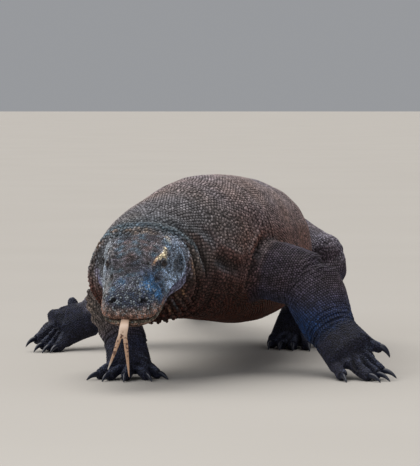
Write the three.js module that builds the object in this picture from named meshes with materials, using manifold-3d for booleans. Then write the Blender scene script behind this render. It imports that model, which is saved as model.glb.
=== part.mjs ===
// A Komodo dragon in mid-stride, head low and tongue out, as a life-size still model.
// Millimetres, +Z up. The snout points towards -Y and the animal's left side is +X. The floor is z = 0, and
// the finished group is moved so that its origin is on the floor under the middle of its box.
import * as THREE from "three";
import { mergeVertices } from "three/addons/utils/BufferGeometryUtils.js";
import Module from "manifold-3d";

const wasm = await Module();
wasm.setup();

// ---- Driving dimensions -------------------------------------------------------------------------

const GAP = 0.3; // between neighbouring pieces
const HEAD_LENGTH = 225; // snout to the back of the jaw
const HEAD_WIDTH = 158; // across the jaw muscles
const TRUNK_WIDTH = 302; // across the belly
const BACK_HEIGHT = 372; // top of the shoulders above the floor
const EYE_RADIUS = 8.5;
const TONGUE_THICK = 3.2;
const MOUTH_GAP = 5; // how far the lips part at the snout
const CLAW_LENGTH = 31;
const SOLE_PRESS = 4; // how far a sole is pressed flat on the floor

// Where the body stands: the head is turned and dipped, and the spine bows to the animal's left.
const SNOUT = [-147, -222, 127]; // on the mouth line
const HEAD_DIP = 24; // degrees, nose down
const HEAD_TURN = 7; // degrees, towards the animal's right

const radians = THREE.MathUtils.degToRad;
const vec = (x, y, z) => new THREE.Vector3(x, y, z);
const point = (list) => vec(...list);

// ---- Shapes -------------------------------------------------------------------------------------

// A closed mesh as a solid, turned the right way out.
function solid(geometry) {
  const g = geometry.index ? geometry.clone() : geometry;
  for (const name of Object.keys(g.attributes)) {
    if (name !== "position") g.deleteAttribute(name);
  }
  const merged = mergeVertices(g, 1e-3);
  const triVerts = new Uint32Array(merged.index.array);
  const vertProperties = merged.attributes.position.array;
  const made = new wasm.Manifold(new wasm.Mesh({ numProp: 3, vertProperties, triVerts }));
  if (made.volume() > 0) return made;
  return new wasm.Manifold(new wasm.Mesh({ numProp: 3, vertProperties, triVerts: triVerts.reverse() }));
}

// A solid of flesh along a smooth curve. Each station has its place (at), its half width, its half height above
// and below the curve, and how far its top leans towards the start of the curve, in degrees. The ends are
// rounded by cap millimetres. A lump pushes the surface outwards around a place. grow makes the whole piece
// that much larger all round, to cut its neighbours with a gap. capRings is how many steps round an end.
function flesh(stations, options = {}) {
  const { around = 10, along = 7, cap = 20, capRings = 1, grow = 0 } = options;
  const { up = vec(0, 0, 1), square = 2, lumps = [] } = options;
  const line = new THREE.CatmullRomCurve3(stations.map((s) => point(s.at)), false, "centripetal");
  const sizes = stations.map((s) => vec(s.wide, s.above, s.below ?? s.above));
  const girth = new THREE.CatmullRomCurve3(sizes, false, "catmullrom", 0.4);
  const leans = new THREE.CatmullRomCurve3(stations.map((s) => vec(s.lean ?? 0, 0, 0)));
  const capShare = capRings / along;
  const g = new THREE.SphereGeometry(1, around, along);
  const { position, uv } = g.attributes;
  for (let i = 0; i < position.count; i++) {
    const v = 1 - uv.getY(i);
    const fromEnd = Math.min(v, 1 - v) / capShare;
    const rise = fromEnd < 1 ? Math.sin((fromEnd * Math.PI) / 2) : 1;
    const beyond = fromEnd < 1 ? Math.cos((fromEnd * Math.PI) / 2) * (cap + grow) : 0;
    const t = Math.min(1, Math.max(0, (v - capShare) / (1 - 2 * capShare)));
    const centre = line.getPoint(t);
    const tangent = line.getTangent(t);
    const side = tangent.clone().cross(up).normalize();
    tangent.applyAxisAngle(side, radians(leans.getPoint(t).x));
    const top = side.clone().cross(tangent);
    const size = girth.getPoint(t);
    const a = Math.round(uv.getX(i) * around * 2) / around; // in half turns; the poles sit half a step off
    const c = Math.cos(a * Math.PI);
    const s = Math.sin(a * Math.PI);
    const power = 2 / square;
    const across = Math.sign(c) * Math.abs(c) ** power * (size.x + grow) * rise;
    const high = Math.sign(s) * Math.abs(s) ** power * ((s > 0 ? size.y : size.z) + grow) * rise;
    const p = centre.clone().addScaledVector(side, across).addScaledVector(top, high);
    const out = p.clone().sub(centre).normalize();
    p.addScaledVector(tangent, v < 0.5 ? -beyond : beyond);
    for (const lump of lumps) {
      const away = p.distanceTo(point(lump.at)) / lump.size;
      p.addScaledVector(out, lump.rise * Math.exp(-away * away));
    }
    position.setXYZ(i, p.x, p.y, p.z);
  }
  return solid(g);
}

function ball(at, radius, around = 12, along = 8) {
  return solid(new THREE.SphereGeometry(radius, around, along).rotateX(Math.PI / 2).translate(...at));
}

// Every piece ends on the floor, so what is pressed below it becomes a small flat.
const onFloor = (s) => s.trimByPlane([0, 0, 1], 0);

// The part of s between two upright planes across the body, each {at, facing}, half the gap short of each.
function between(s, front, back) {
  const across = ({ at, facing }, sign) => {
    const n = point(facing).normalize();
    return s.trimByPlane([n.x * sign, n.y * sign, n.z * sign], n.dot(point(at)) * sign + GAP / 2);
  };
  if (front) s = across(front, 1);
  if (back) s = across(back, -1);
  return s;
}

const largest = (s) => s.decompose().sort((a, b) => b.volume() - a.volume())[0];

// ---- Materials ----------------------------------------------------------------------------------

const material = (color, roughness) => new THREE.MeshStandardMaterial({ color, roughness, metalness: 0 });
const HEAD_SKIN = material(0x5b5e62, 0.6);
const BODY_SKIN = material(0x5a5049, 0.7);
const LIMB_SKIN = material(0x35363c, 0.65);
const CLAW = material(0x121419, 0.3);
const EYE = material(0x0c0b0c, 0.08);
const TONGUE = material(0xd9b894, 0.35);

const dragon = new THREE.Group();

function add(name, made, finish) {
  const mesh = made.getMesh();
  const positions = new Float32Array(mesh.numVert * 3);
  for (let i = 0; i < mesh.numVert; i++) {
    positions.set(mesh.vertProperties.subarray(i * mesh.numProp, i * mesh.numProp + 3), i * 3);
  }
  const g = new THREE.BufferGeometry();
  g.setAttribute("position", new THREE.BufferAttribute(positions, 3));
  g.setIndex(new THREE.BufferAttribute(mesh.triVerts, 1));
  const piece = new THREE.Mesh(g, finish);
  piece.name = name;
  dragon.add(piece);
}

// ---- Torso: neck, trunk and tail, as one flesh that is parted afterwards ------------------------

const TORSO = [
  { at: [-125, -20, 205], wide: 74, above: 60, below: 74, lean: 24 },
  { at: [-126, -7, 203], wide: 96, above: 86, below: 97, lean: 23 }, // the collar of loose skin
  { at: [-121, 40, 203], wide: 100, above: 94, below: 100, lean: 10 },
  { at: [-98, 92, 213], wide: 112, above: 116, below: 108 },
  { at: [-32, 175, 222], wide: 127, above: BACK_HEIGHT - 224, below: 124 }, // shoulders
  { at: [14, 300, 222], wide: 140, above: BACK_HEIGHT - 222, below: 137 },
  { at: [44, 440, 216], wide: TRUNK_WIDTH / 2 - 2, above: 147, below: 144 },
  { at: [57, 580, 213], wide: TRUNK_WIDTH / 2, above: 140, below: 142 }, // belly
  { at: [60, 730, 216], wide: 126, above: 121, below: 118 },
  { at: [56, 860, 220], wide: 96, above: 100, below: 92 }, // hips
];
const throatFold = { at: [-74, -24, 116], size: 26, rise: 14 };
const TAIL_LENGTH = 1300;
const TAIL_ROOT = [46, 985, 204];

// The tail leaves the hips, drops to the floor and swings from side to side as it thins to its tip.
function tailStations(count) {
  const stations = [];
  for (let i = 0; i <= count; i++) {
    const u = i / count;
    const thick = THREE.MathUtils.lerp(78, 5, u ** 0.8);
    const wide = THREE.MathUtils.lerp(70, 4.5, u ** 0.62);
    const drop = THREE.MathUtils.smoothstep(u, 0, 0.52);
    const x = TAIL_ROOT[0] - 95 * Math.sin(u * Math.PI * 1.35) * (1 - 0.25 * u) + 20 * u;
    const y = TAIL_ROOT[1] + TAIL_LENGTH * 0.965 * u;
    const z = THREE.MathUtils.lerp(TAIL_ROOT[2], 0, drop) + thick * 0.92 * drop;
    stations.push({ at: [x, y, z], wide, above: thick, below: thick });
  }
  return stations;
}

const torsoStations = [...TORSO, ...tailStations(8)];
const torsoOptions = { around: 20, along: 31, cap: 4, square: 2.1, lumps: [throatFold] };
const torso = flesh(torsoStations, torsoOptions);
const torsoGrown = flesh(torsoStations, { ...torsoOptions, grow: GAP });

// ---- Head, in its own frame: x across, y back from the snout, z up from the mouth line ----------

const headPlace = new THREE.Matrix4()
  .makeTranslation(...SNOUT)
  .multiply(new THREE.Matrix4().makeRotationZ(radians(-HEAD_TURN)))
  .multiply(new THREE.Matrix4().makeRotationX(radians(HEAD_DIP)));
const placed = (s) => s.transform(headPlace.elements);

const jowl = HEAD_WIDTH / 2;
const HEAD = [
  { at: [0, 4, 0], wide: 32, above: 20, below: 15 },
  { at: [0, 12, 0], wide: 42, above: 26, below: 19 },
  { at: [0, 28, 0], wide: 49, above: 32, below: 22 },
  { at: [0, 55, 0], wide: 54, above: 38, below: 25 },
  { at: [0, 90, 0], wide: 57, above: 46, below: 29 },
  { at: [0, 125, 0], wide: 61, above: 57, below: 34 },
  { at: [0, 155, 0], wide: 70, above: 62, below: 40 },
  { at: [0, 185, 0], wide: jowl, above: 62, below: 48 },
  { at: [0, HEAD_LENGTH - 8, 0], wide: jowl - 1, above: 61, below: 54 },
  { at: [0, HEAD_LENGTH + 15, 0], wide: 73, above: 54, below: 54 },
  { at: [0, HEAD_LENGTH + 40, 0], wide: 62, above: 34, below: 48 },
];
const EYE_AT = { across: 48, back: 137, up: 44 };
const NOSTRIL_AT = { across: 29, back: 15, up: 26 };
const EAR_AT = { across: jowl - 2, back: 200, up: 18 };
const bothSides = (lump) => [lump, { ...lump, at: [-lump.at[0], lump.at[1], lump.at[2]] }];
const headLumps = [
  ...bothSides({ at: [46, 130, 58], size: 17, rise: 6 }), // brow
  ...bothSides({ at: [48, 152, 58], size: 15, rise: 3 }),
  ...bothSides({ at: [54, 95, 26], size: 22, rise: -4 }), // hollow before the eye
  ...bothSides({ at: [30, 20, 26], size: 15, rise: 4 }), // nostril swelling
  ...bothSides({ at: [75, 190, 0], size: 32, rise: 4 }), // jaw muscle
  ...bothSides({ at: [62, 180, 50], size: 24, rise: 5 }), // temple
  { at: [0, 100, 52], size: 24, rise: -4 }, // dip between the brows
];
const headOptions = { around: 20, along: 18, cap: 5, square: 2.3, lumps: headLumps };
const headFlesh = flesh(HEAD, headOptions);

// The mouth: a wedge that opens towards the snout, and a thin parting line from its corner to the throat.
const MOUTH_CORNER = 150;
const wedge = new THREE.Shape();
wedge.moveTo(-30, MOUTH_GAP / 2 + 0.4);
wedge.quadraticCurveTo(70, -3, MOUTH_CORNER, -2 + GAP / 2);
wedge.lineTo(HEAD_LENGTH + 90, -88);
wedge.lineTo(HEAD_LENGTH + 90, -88 - GAP);
wedge.lineTo(MOUTH_CORNER - 1, -2 - GAP / 2);
wedge.quadraticCurveTo(70, -5, -30, -MOUTH_GAP / 2 - 0.4);
const wedgeOptions = { depth: 2 * HEAD_WIDTH, bevelEnabled: false, curveSegments: 3 };
const mouth = new THREE.ExtrudeGeometry(wedge, wedgeOptions);
// The shape is drawn with x back and y up, so it is turned to run across the head.
mouth.applyMatrix4(
  new THREE.Matrix4().makeBasis(vec(0, 1, 0), vec(0, 0, 1), vec(1, 0, 0)).setPosition(-HEAD_WIDTH, 0, 0),
);
const parted = headFlesh
  .subtract(solid(mouth))
  .decompose()
  .sort((a, b) => b.volume() - a.volume());

const eyes = { left: 1, right: -1 };
let skull = placed(parted[0]);
const beside = (spot, side, radius, around, along) =>
  placed(ball([side * spot.across, spot.back, spot.up], radius, around, along));
const eyeball = (side, radius) => beside(EYE_AT, side, radius, 8, 6);
for (const [name, side] of Object.entries(eyes)) {
  skull = skull.subtract(eyeball(side, EYE_RADIUS + GAP));
  skull = skull.subtract(beside(NOSTRIL_AT, side, 6, 6, 4));
  skull = skull.subtract(beside(EAR_AT, side, 6, 6, 4));
  add(`eye_${name}`, eyeball(side, EYE_RADIUS), EYE);
}
const jaw = placed(parted[1]);

add("head", largest(skull), HEAD_SKIN);
add("lower_jaw", largest(jaw), HEAD_SKIN);

// ---- Tongue: flat at its root between the lips, forked, hanging in front of the right hand ------

const FORK = [-155, -262, 104];
const TINE_TIPS = { right: [-181, -270, 43], left: [-143, -272, 30] };
const inMouth = (x, y, z) => point([x, y, z]).applyMatrix4(headPlace).toArray();
const half = TONGUE_THICK / 2;
const tongueOptions = { around: 6, along: 5, cap: 1, up: vec(0, -1, 0.2).normalize() };
let tongue = flesh(
  [
    { at: inMouth(-5, 24, 0.3), wide: 7.5, above: half },
    { at: inMouth(-5, 2, -0.3), wide: 7.5, above: half },
    { at: [-152.5, -252, 119], wide: 7.8, above: half },
    { at: FORK, wide: 7.6, above: half },
  ],
  tongueOptions,
);
for (const [name, tip] of Object.entries(TINE_TIPS)) {
  const lean = name === "left" ? 3.7 : -3.7;
  const halfway = [(FORK[0] + tip[0]) / 2 + lean / 2, FORK[1] - 6, (FORK[2] + tip[2]) / 2];
  const tine = [
    { at: [FORK[0] + lean * 0.8, FORK[1], FORK[2] + 8], wide: 3.6, above: half },
    { at: halfway, wide: 3.2, above: half * 0.8 },
    { at: tip, wide: 1.3, above: 0.8 },
  ];
  tongue = tongue.add(flesh(tine, { ...tongueOptions, cap: 3 }));
}
add("tongue", tongue.subtract(placed(parted[0])).subtract(placed(parted[1])), TONGUE);

// ---- Limbs --------------------------------------------------------------------------------------

// A digit arches from its knuckle to the floor. turn is its heading in degrees, from straight ahead (-Y)
// towards the animal's left (+X). lift raises its end off the floor.
function digit(knuckle, d) {
  const heading = radians(d.turn);
  const ahead = vec(Math.sin(heading), -Math.cos(heading), 0);
  const end = d.thick - SOLE_PRESS + d.lift;
  const on = (share, height) =>
    knuckle.clone().addScaledVector(ahead, share * d.length).setZ(height).toArray();
  const high = Math.max(knuckle.z, end) + 3;
  const fall = (share) => THREE.MathUtils.lerp(high, end, share);
  const toe = [
    { at: on(-0.25, knuckle.z), wide: d.thick * 1.05, above: d.thick },
    { at: on(0.35, fall(0.25)), wide: d.thick, above: d.thick },
    { at: on(0.75, fall(0.8)), wide: d.thick * 0.88, above: d.thick * 0.92 },
    { at: on(1, end), wide: d.thick * 0.8, above: d.thick * 0.84 },
  ];
  const reach = (CLAW_LENGTH * d.claw) / d.length;
  const tip = 0.8 + d.lift * 0.85;
  const claw = [
    { at: on(1 - 0.05 * reach, end + 2), wide: 4.6, above: 6.2 },
    { at: on(1 + 0.45 * reach, end + 3), wide: 4, above: 5 },
    { at: on(1 + 0.85 * reach, THREE.MathUtils.lerp(end, tip, 0.5)), wide: 2.4, above: 3 },
    { at: on(1 + reach, tip), wide: 0.7, above: 0.9 },
  ];
  return { toe, claw };
}

// A foot is a palm from the ankle to the knuckles, five digits and their claws. roll lifts its left edge.
function foot(name, f) {
  const ankle = point(f.ankle);
  const knuckles = point(f.knuckles);
  const roll = radians(f.roll ?? 0);
  const ahead = knuckles.clone().sub(ankle).setZ(0).normalize();
  const level = vec(0, 0, 1).cross(ahead); // towards the left of the foot
  const across = level.clone().multiplyScalar(Math.cos(roll)).setZ(Math.sin(roll));
  const up = vec(0, 0, Math.cos(roll)).addScaledVector(level, -Math.sin(roll));
  const midPalm = ankle.clone().lerp(knuckles, 0.5).addScaledVector(up, 3);
  const midSize = f.wrist.map((size, i) => (size + f.palm[i]) / 2);
  const palm = [
    { at: f.ankle, wide: f.wrist[0], above: f.wrist[1] },
    { at: midPalm.toArray(), wide: midSize[0], above: midSize[1] },
    { at: f.knuckles, wide: f.palm[0], above: f.palm[1] },
  ];
  let made = flesh(palm, { around: 10, along: 6, cap: 14, square: 2.3, up });
  const sockets = [];
  f.digits.forEach((d, i) => {
    const aside = ((i - 2) / 2) * f.palm[0] * 0.76 * f.outward;
    const knuckle = knuckles.clone().addScaledVector(across, aside).addScaledVector(ahead, -d.back);
    knuckle.z = Math.max(knuckle.z - 3, d.thick - SOLE_PRESS);
    const { toe, claw } = digit(knuckle, d);
    const options = { around: 5, along: 5, cap: 3 };
    made = made.add(flesh(toe, { around: 7, along: 5, cap: d.thick * 0.6 }));
    sockets.push(flesh(claw, { ...options, grow: 1.6 * GAP }));
    add(`${name}_claw_${i + 1}`, largest(onFloor(flesh(claw, options))), CLAW);
  });
  for (const socket of sockets) made = made.subtract(socket);
  const grownLower = flesh(f.lower, { ...f.lowerOptions, grow: GAP });
  add(`${name}_foot`, largest(onFloor(made).subtract(grownLower)), LIMB_SKIN);
}

function limb(name, l) {
  const grownLower = flesh(l.lower, { ...l.lowerOptions, grow: GAP });
  const upper = flesh(l.upper, l.upperOptions).subtract(grownLower).subtract(torsoGrown);
  const lower = onFloor(flesh(l.lower, l.lowerOptions)).subtract(torsoGrown);
  add(`${name}_${l.names[0]}`, largest(upper), LIMB_SKIN);
  add(`${name}_${l.names[1]}`, largest(lower), LIMB_SKIN);
  foot(name, { ...l.foot, lower: l.lower, lowerOptions: l.lowerOptions });
}

const FORE = ["upper_arm", "forearm"];
const HIND = ["thigh", "shin"];
const DIGIT = { lift: 0, back: 0, claw: 1 };
const forward = (x, y, z) => vec(x, y, z).normalize();

limb("left_fore", {
  names: FORE,
  upper: [
    { at: [66, 202, 196], wide: 62, above: 58 },
    { at: [130, 188, 190], wide: 60, above: 58 },
    { at: [192, 164, 172], wide: 55, above: 55 },
  ],
  upperOptions: { up: vec(0, 0, 1), cap: 30, along: 6 },
  lower: [
    { at: [195, 160, 168], wide: 57, above: 57 },
    { at: [207, 136, 134], wide: 58, above: 56 },
    { at: [219, 110, 102], wide: 53, above: 49 },
    { at: [236, 82, 76], wide: 44, above: 38 },
  ],
  lowerOptions: { up: forward(0, -1, 0.6), cap: 26, along: 8, capRings: 2 },
  foot: {
    ankle: [237, 80, 74],
    knuckles: [262, 26, 46],
    wrist: [44, 36],
    palm: [49, 26],
    outward: 1,
    roll: 36,
    digits: [
      { ...DIGIT, turn: 12, length: 46, thick: 11 },
      { ...DIGIT, turn: 38, length: 74, thick: 11.5 },
      { ...DIGIT, turn: 43, length: 70, thick: 12, lift: 1 },
      { ...DIGIT, turn: 50, length: 58, thick: 11.5, lift: 6 },
      { ...DIGIT, turn: 58, length: 37, thick: 11, lift: 48, claw: 0.6, back: 6 },
    ],
  },
});

limb("right_fore", {
  names: FORE,
  upper: [
    { at: [-95, 200, 196], wide: 60, above: 60 },
    { at: [-150, 165, 176], wide: 52, above: 56 },
    { at: [-194, 132, 152], wide: 42, above: 44 },
  ],
  upperOptions: { up: vec(0, 0, 1), cap: 28, along: 6 },
  lower: [
    { at: [-195, 128, 148], wide: 42, above: 46 },
    { at: [-182, 96, 116], wide: 42, above: 42 },
    { at: [-164, 72, 82], wide: 40, above: 37 },
    { at: [-157, 60, 58], wide: 39, above: 34 },
  ],
  lowerOptions: { up: forward(0, -1, 0.4), cap: 24, along: 8, capRings: 2 },
  foot: {
    ankle: [-157, 60, 54],
    knuckles: [-150, 22, 22],
    wrist: [39, 34],
    palm: [43, 24],
    outward: -1,
    digits: [
      { ...DIGIT, turn: 50, length: 30, thick: 11, claw: 0.7 },
      { ...DIGIT, turn: 20, length: 50, thick: 11.5, claw: 0.85 },
      { ...DIGIT, turn: -6, length: 56, thick: 12, claw: 0.85 },
      { ...DIGIT, turn: -26, length: 48, thick: 11.5, claw: 0.85 },
      { ...DIGIT, turn: -54, length: 32, thick: 11, claw: 0.8 },
    ],
  },
});

limb("left_hind", {
  names: HIND,
  upper: [
    { at: [106, 850, 208], wide: 78, above: 80 },
    { at: [175, 785, 202], wide: 68, above: 68 },
    { at: [230, 730, 174], wide: 55, above: 54 },
  ],
  upperOptions: { up: vec(0, 0, 1), cap: 34, along: 6 },
  lower: [
    { at: [232, 728, 166], wide: 54, above: 55 },
    { at: [220, 758, 134], wide: 50, above: 48 },
    { at: [196, 796, 88], wide: 38, above: 38 },
    { at: [186, 810, 64], wide: 35, above: 35 },
  ],
  lowerOptions: { up: forward(1, 0, 0.3), cap: 30, along: 8, capRings: 2 },
  foot: {
    ankle: [184, 808, 58],
    knuckles: [170, 710, 22],
    wrist: [35, 35],
    palm: [45, 24],
    outward: 1,
    digits: [
      { ...DIGIT, turn: -12, length: 46, thick: 12 },
      { ...DIGIT, turn: -6, length: 64, thick: 12 },
      { ...DIGIT, turn: 0, length: 76, thick: 12.5 },
      { ...DIGIT, turn: 9, length: 80, thick: 12.5 },
      { ...DIGIT, turn: 44, length: 52, thick: 11.5, back: 22 },
    ],
  },
});

limb("right_hind", {
  names: HIND,
  upper: [
    { at: [10, 860, 208], wide: 76, above: 80 },
    { at: [-70, 815, 200], wide: 68, above: 66 },
    { at: [-142, 765, 176], wide: 52, above: 50 },
  ],
  upperOptions: { up: vec(0, 0, 1), cap: 32, along: 6 },
  lower: [
    { at: [-144, 762, 172], wide: 50, above: 50 },
    { at: [-178, 738, 138], wide: 48, above: 46 },
    { at: [-226, 702, 86], wide: 38, above: 36 },
    { at: [-246, 688, 66], wide: 35, above: 34 },
  ],
  lowerOptions: { up: forward(0, -1, 0.3), cap: 28, along: 8, capRings: 2 },
  foot: {
    ankle: [-246, 686, 62],
    knuckles: [-312, 644, 44],
    wrist: [36, 34],
    palm: [48, 27],
    outward: -1,
    roll: -38,
    digits: [
      { ...DIGIT, turn: -24, length: 40, thick: 12 },
      { ...DIGIT, turn: -26, length: 54, thick: 12 },
      { ...DIGIT, turn: -30, length: 62, thick: 12.5, lift: 3 },
      { ...DIGIT, turn: -36, length: 64, thick: 12, lift: 14 },
      { ...DIGIT, turn: -178, length: 34, thick: 11, lift: 82, back: 50, claw: 0.8 },
    ],
  },
});

// ---- Parting the torso --------------------------------------------------------------------------

// The head and jaw are sunk in the collar of loose neck skin, and the torso is cut across into lengths.
const headGrown = placed(flesh(HEAD, { ...headOptions, grow: GAP }));
const upright = (x, y, turn) => {
  const facing = [Math.sin(radians(turn)), Math.cos(radians(turn)), 0];
  return { at: [x, y, 0], facing };
};
const CUTS = [
  upright(-60, 135, 35),
  upright(52, 470, 6),
  upright(52, 930, -6),
  upright(-30, 1240, -10),
  upright(-55, 1540, 0),
  upright(0, 1850, 10),
];
const LENGTHS = ["neck", "trunk_front", "trunk_rear", "tail_1", "tail_2", "tail_3", "tail_4"];
const body = onFloor(torso).subtract(headGrown);
LENGTHS.forEach((name, i) => {
  add(name, largest(between(body, CUTS[i - 1], CUTS[i])), BODY_SKIN);
});

// ---- Origin: on the floor, under the middle of the box ------------------------------------------

const box = new THREE.Box3().setFromObject(dragon);
const middle = box.getCenter(vec(0, 0, 0));
dragon.position.set(-middle.x, -middle.y, -box.min.z);

export default dragon;
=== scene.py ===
# %% [markdown]
# # A Komodo dragon, life size
#
# The frame holds a monitor lizard in plain solids: head, neck, trunk, tail, legs, claws, eyes and tongue.
# This lesson grows one seamless skin over them, carves the face and the loose folds into it, and then covers
# it with about 54,000 bead-like scales, each of them solid mesh.
#
# Everything is in metres, with +Z up and the snout towards -Y.

# %% Load the frame
import math

import bmesh
import bpy
import numpy as np
from mathutils import Matrix, Vector, kdtree, noise
from mathutils.bvhtree import BVHTree


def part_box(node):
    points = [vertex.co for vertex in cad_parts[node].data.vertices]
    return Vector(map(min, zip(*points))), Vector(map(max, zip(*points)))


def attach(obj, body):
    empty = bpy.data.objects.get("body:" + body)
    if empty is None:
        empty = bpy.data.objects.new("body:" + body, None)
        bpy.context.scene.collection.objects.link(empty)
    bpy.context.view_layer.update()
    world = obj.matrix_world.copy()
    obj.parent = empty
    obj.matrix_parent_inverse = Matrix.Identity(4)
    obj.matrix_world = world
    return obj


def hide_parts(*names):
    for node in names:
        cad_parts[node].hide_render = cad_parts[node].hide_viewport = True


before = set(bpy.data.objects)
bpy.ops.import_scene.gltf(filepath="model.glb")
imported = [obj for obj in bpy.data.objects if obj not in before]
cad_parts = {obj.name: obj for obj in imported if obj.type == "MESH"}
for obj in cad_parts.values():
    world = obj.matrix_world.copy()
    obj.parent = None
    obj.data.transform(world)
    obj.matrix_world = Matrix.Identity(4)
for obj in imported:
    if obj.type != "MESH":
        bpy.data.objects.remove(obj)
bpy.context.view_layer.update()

# %% [markdown]
# ## Names for the parts of the body
#
# The skin replaces every node of flesh. Claws, eyes and the tongue stay pieces of their own.

# %% Parts of the body
HEAD = ["head", "lower_jaw"]
TRUNK = ["neck", "trunk_front", "trunk_rear"]
TAIL = ["tail_1", "tail_2", "tail_3", "tail_4"]
LIMBS = ["left_fore", "right_fore", "left_hind", "right_hind"]
SEGMENTS = {"fore": ("upper_arm", "forearm"), "hind": ("thigh", "shin")}
UPPER = {limb: f"{limb}_{SEGMENTS[limb.split('_')[1]][0]}" for limb in LIMBS}
LOWER = {limb: f"{limb}_{SEGMENTS[limb.split('_')[1]][1]}" for limb in LIMBS}
FEET = [f"{limb}_foot" for limb in LIMBS]
LEGS = [*UPPER.values(), *LOWER.values()]
FLESH = [*HEAD, *TRUNK, *TAIL, *LEGS, *FEET]
print("flesh nodes:", len(FLESH))

# %% [markdown]
# ## Millimetres and objects
#
# Blender counts in metres, but folds and scales are easier to think of in millimetres, so MM turns one into
# the other. Every piece keeps its place in its mesh, and its object stays at the origin.

# %% Objects at the origin
MM = 0.001


def middle(node):
    low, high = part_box(node)
    return (low + high) / 2


def link(name, mesh):
    """An object at the origin that holds a mesh whose points are already in place."""
    obj = bpy.data.objects.new(name, mesh)
    bpy.context.scene.collection.objects.link(obj)
    return obj


def poured(name, bm):
    """Pours a bmesh into a new object, and lets the bmesh go."""
    mesh = bpy.data.meshes.new(name)
    bm.to_mesh(mesh)
    bm.free()
    return link(name, mesh)


print("middle of the head:", [round(v / MM) for v in middle("head")], "mm")

# %% [markdown]
# ## The camera
#
# A long lens from almost seven metres away, half a metre above the floor, looking a little down.

# %% Camera
LENS_PIXELS, FRAME_PIXELS = 3100, 466  # focal length and longer side of the frame, both in pixels
SENSOR = 36  # millimetres
BODY_SHIFT = Vector((0.01559, -0.98537, 0))  # from the line of sight to the middle of the body
CAMERA_BACK, CAMERA_HEIGHT, CAMERA_DOWN = 5.74, 0.55, 2.77

camera = bpy.data.objects.new("camera", bpy.data.cameras.new("camera"))
bpy.context.scene.collection.objects.link(camera)
camera.location = BODY_SHIFT + Vector((0, -CAMERA_BACK, CAMERA_HEIGHT))
camera.rotation_euler = (math.radians(90 - CAMERA_DOWN), 0, 0)
camera.data.sensor_width = SENSOR
camera.data.lens = SENSOR * LENS_PIXELS / FRAME_PIXELS
camera.data.clip_end = 60
bpy.context.scene.camera = camera
print("lens", round(camera.data.lens), "mm")

# %% [markdown]
# ## The head's own frame
#
# The head is dipped and turned, so its features are easiest to place in a frame of its own: x across, y back
# from the tip of the snout, z up from the mouth. The two eyes say where that frame is.

# %% Head frame
HEAD_TURN, HEAD_DIP = math.radians(-7), math.radians(24)
EYES_IN_HEAD = Vector((0, 137, 44)) * MM
turned = Matrix.Rotation(HEAD_TURN, 4, "Z") @ Matrix.Rotation(HEAD_DIP, 4, "X")
eye_middle = (middle("eye_left") + middle("eye_right")) / 2
head_frame = Matrix.Translation(eye_middle - turned @ EYES_IN_HEAD) @ turned
HEAD_AXES = np.array(head_frame.to_3x3())
HEAD_ORIGIN = np.array(head_frame.translation)


def in_head(points):
    """Places in the head's frame, in millimetres."""
    return (points - HEAD_ORIGIN) @ HEAD_AXES / MM


print("snout at", [round(v, 3) for v in HEAD_ORIGIN])

# %% [markdown]
# ## Meshes as arrays
#
# The skin has a quarter of a million points at first. A loop over them would be slow, so points, normals and
# faces are read and written as whole arrays.

# %% Arrays
def read(items, field, kind=np.float32):
    """Three numbers of every item of a mesh, as the rows of an array."""
    out = np.empty(len(items) * 3, kind)
    items.foreach_get(field, out)
    return out.reshape(-1, 3)


def points_of(mesh):
    return read(mesh.vertices, "co").astype(float)


def normals_of(mesh):
    return read(mesh.vertex_normals, "vector").astype(float)


def triangles_of(mesh):
    mesh.calc_loop_triangles()
    return read(mesh.loop_triangles, "vertices", np.int32)


def unit(v):
    return v / np.maximum(np.linalg.norm(v, axis=-1, keepdims=True), 1e-12)


def smooth(a, b, x):
    """0 below a, 1 above b, and a soft step between. With b below a it falls instead."""
    t = np.clip((x - a) / (b - a), 0, 1)
    return t * t * (3 - 2 * t)


print("points of the head's solid:", len(points_of(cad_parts["head"].data)))

# %% [markdown]
# ## Nearest places
#
# Again and again the lesson asks which part of the body a place is nearest to. A tree of triangles sorts a
# surface into nested boxes, so that the nearest triangle is found without looking at all the others.

# %% Trees of triangles
def tree_of(names):
    """A tree of the triangles of some CAD nodes, and which node each triangle belongs to."""
    points, faces, owner = [], [], []
    for name in names:
        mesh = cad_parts[name].data
        start = len(points)
        points += points_of(mesh).tolist()
        tris = (triangles_of(mesh) + start).tolist()
        faces += tris
        owner += [name] * len(tris)
    return BVHTree.FromPolygons(points, faces), np.array(owner)


def nearest(tree, points):
    """For each point, the closest place on a surface, its face and how far it is."""
    found = [tree.find_nearest(p) for p in points.tolist()]
    place = np.array([f[0] for f in found])
    return place, np.array([f[2] for f in found]), np.array([f[3] for f in found])


flesh_tree, flesh_owner = tree_of(FLESH)
print("flesh triangles:", len(flesh_owner))

# %% [markdown]
# ## One skin
#
# The real hide has no seams. Joining the solids by booleans would leave a hard edge at each of them. Instead,
# copies of the flesh are remeshed on a grid of small cubes, which closes the thin partings between them.

# %% Remeshed flesh
VOXEL = 3 * MM
TOUCHING = 0.01 * MM  # points nearer than this become one


def keep(obj):
    """Runs the modifiers of an object and keeps what they make as its mesh."""
    depsgraph = bpy.context.evaluated_depsgraph_get()
    mesh = bpy.data.meshes.new_from_object(obj.evaluated_get(depsgraph))
    obj.modifiers.clear()
    obj.data = mesh


def joined(name, nodes):
    """One object that holds merged copies of CAD nodes."""
    bm = bmesh.new()
    for node in nodes:
        bm.from_mesh(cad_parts[node].data)
    bmesh.ops.remove_doubles(bm, verts=bm.verts, dist=TOUCHING)
    return poured(name, bm)


def even_mesh(obj, cube):
    """Adds a remesh on a grid of cubes."""
    remesh = obj.modifiers.new("even", "REMESH")
    remesh.mode = "VOXEL"
    remesh.voxel_size = cube


skin = joined("skin", [*FLESH, "eye_left", "eye_right"])
even_mesh(skin, VOXEL)
keep(skin)
print("remeshed:", len(skin.data.vertices), "points")

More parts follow.
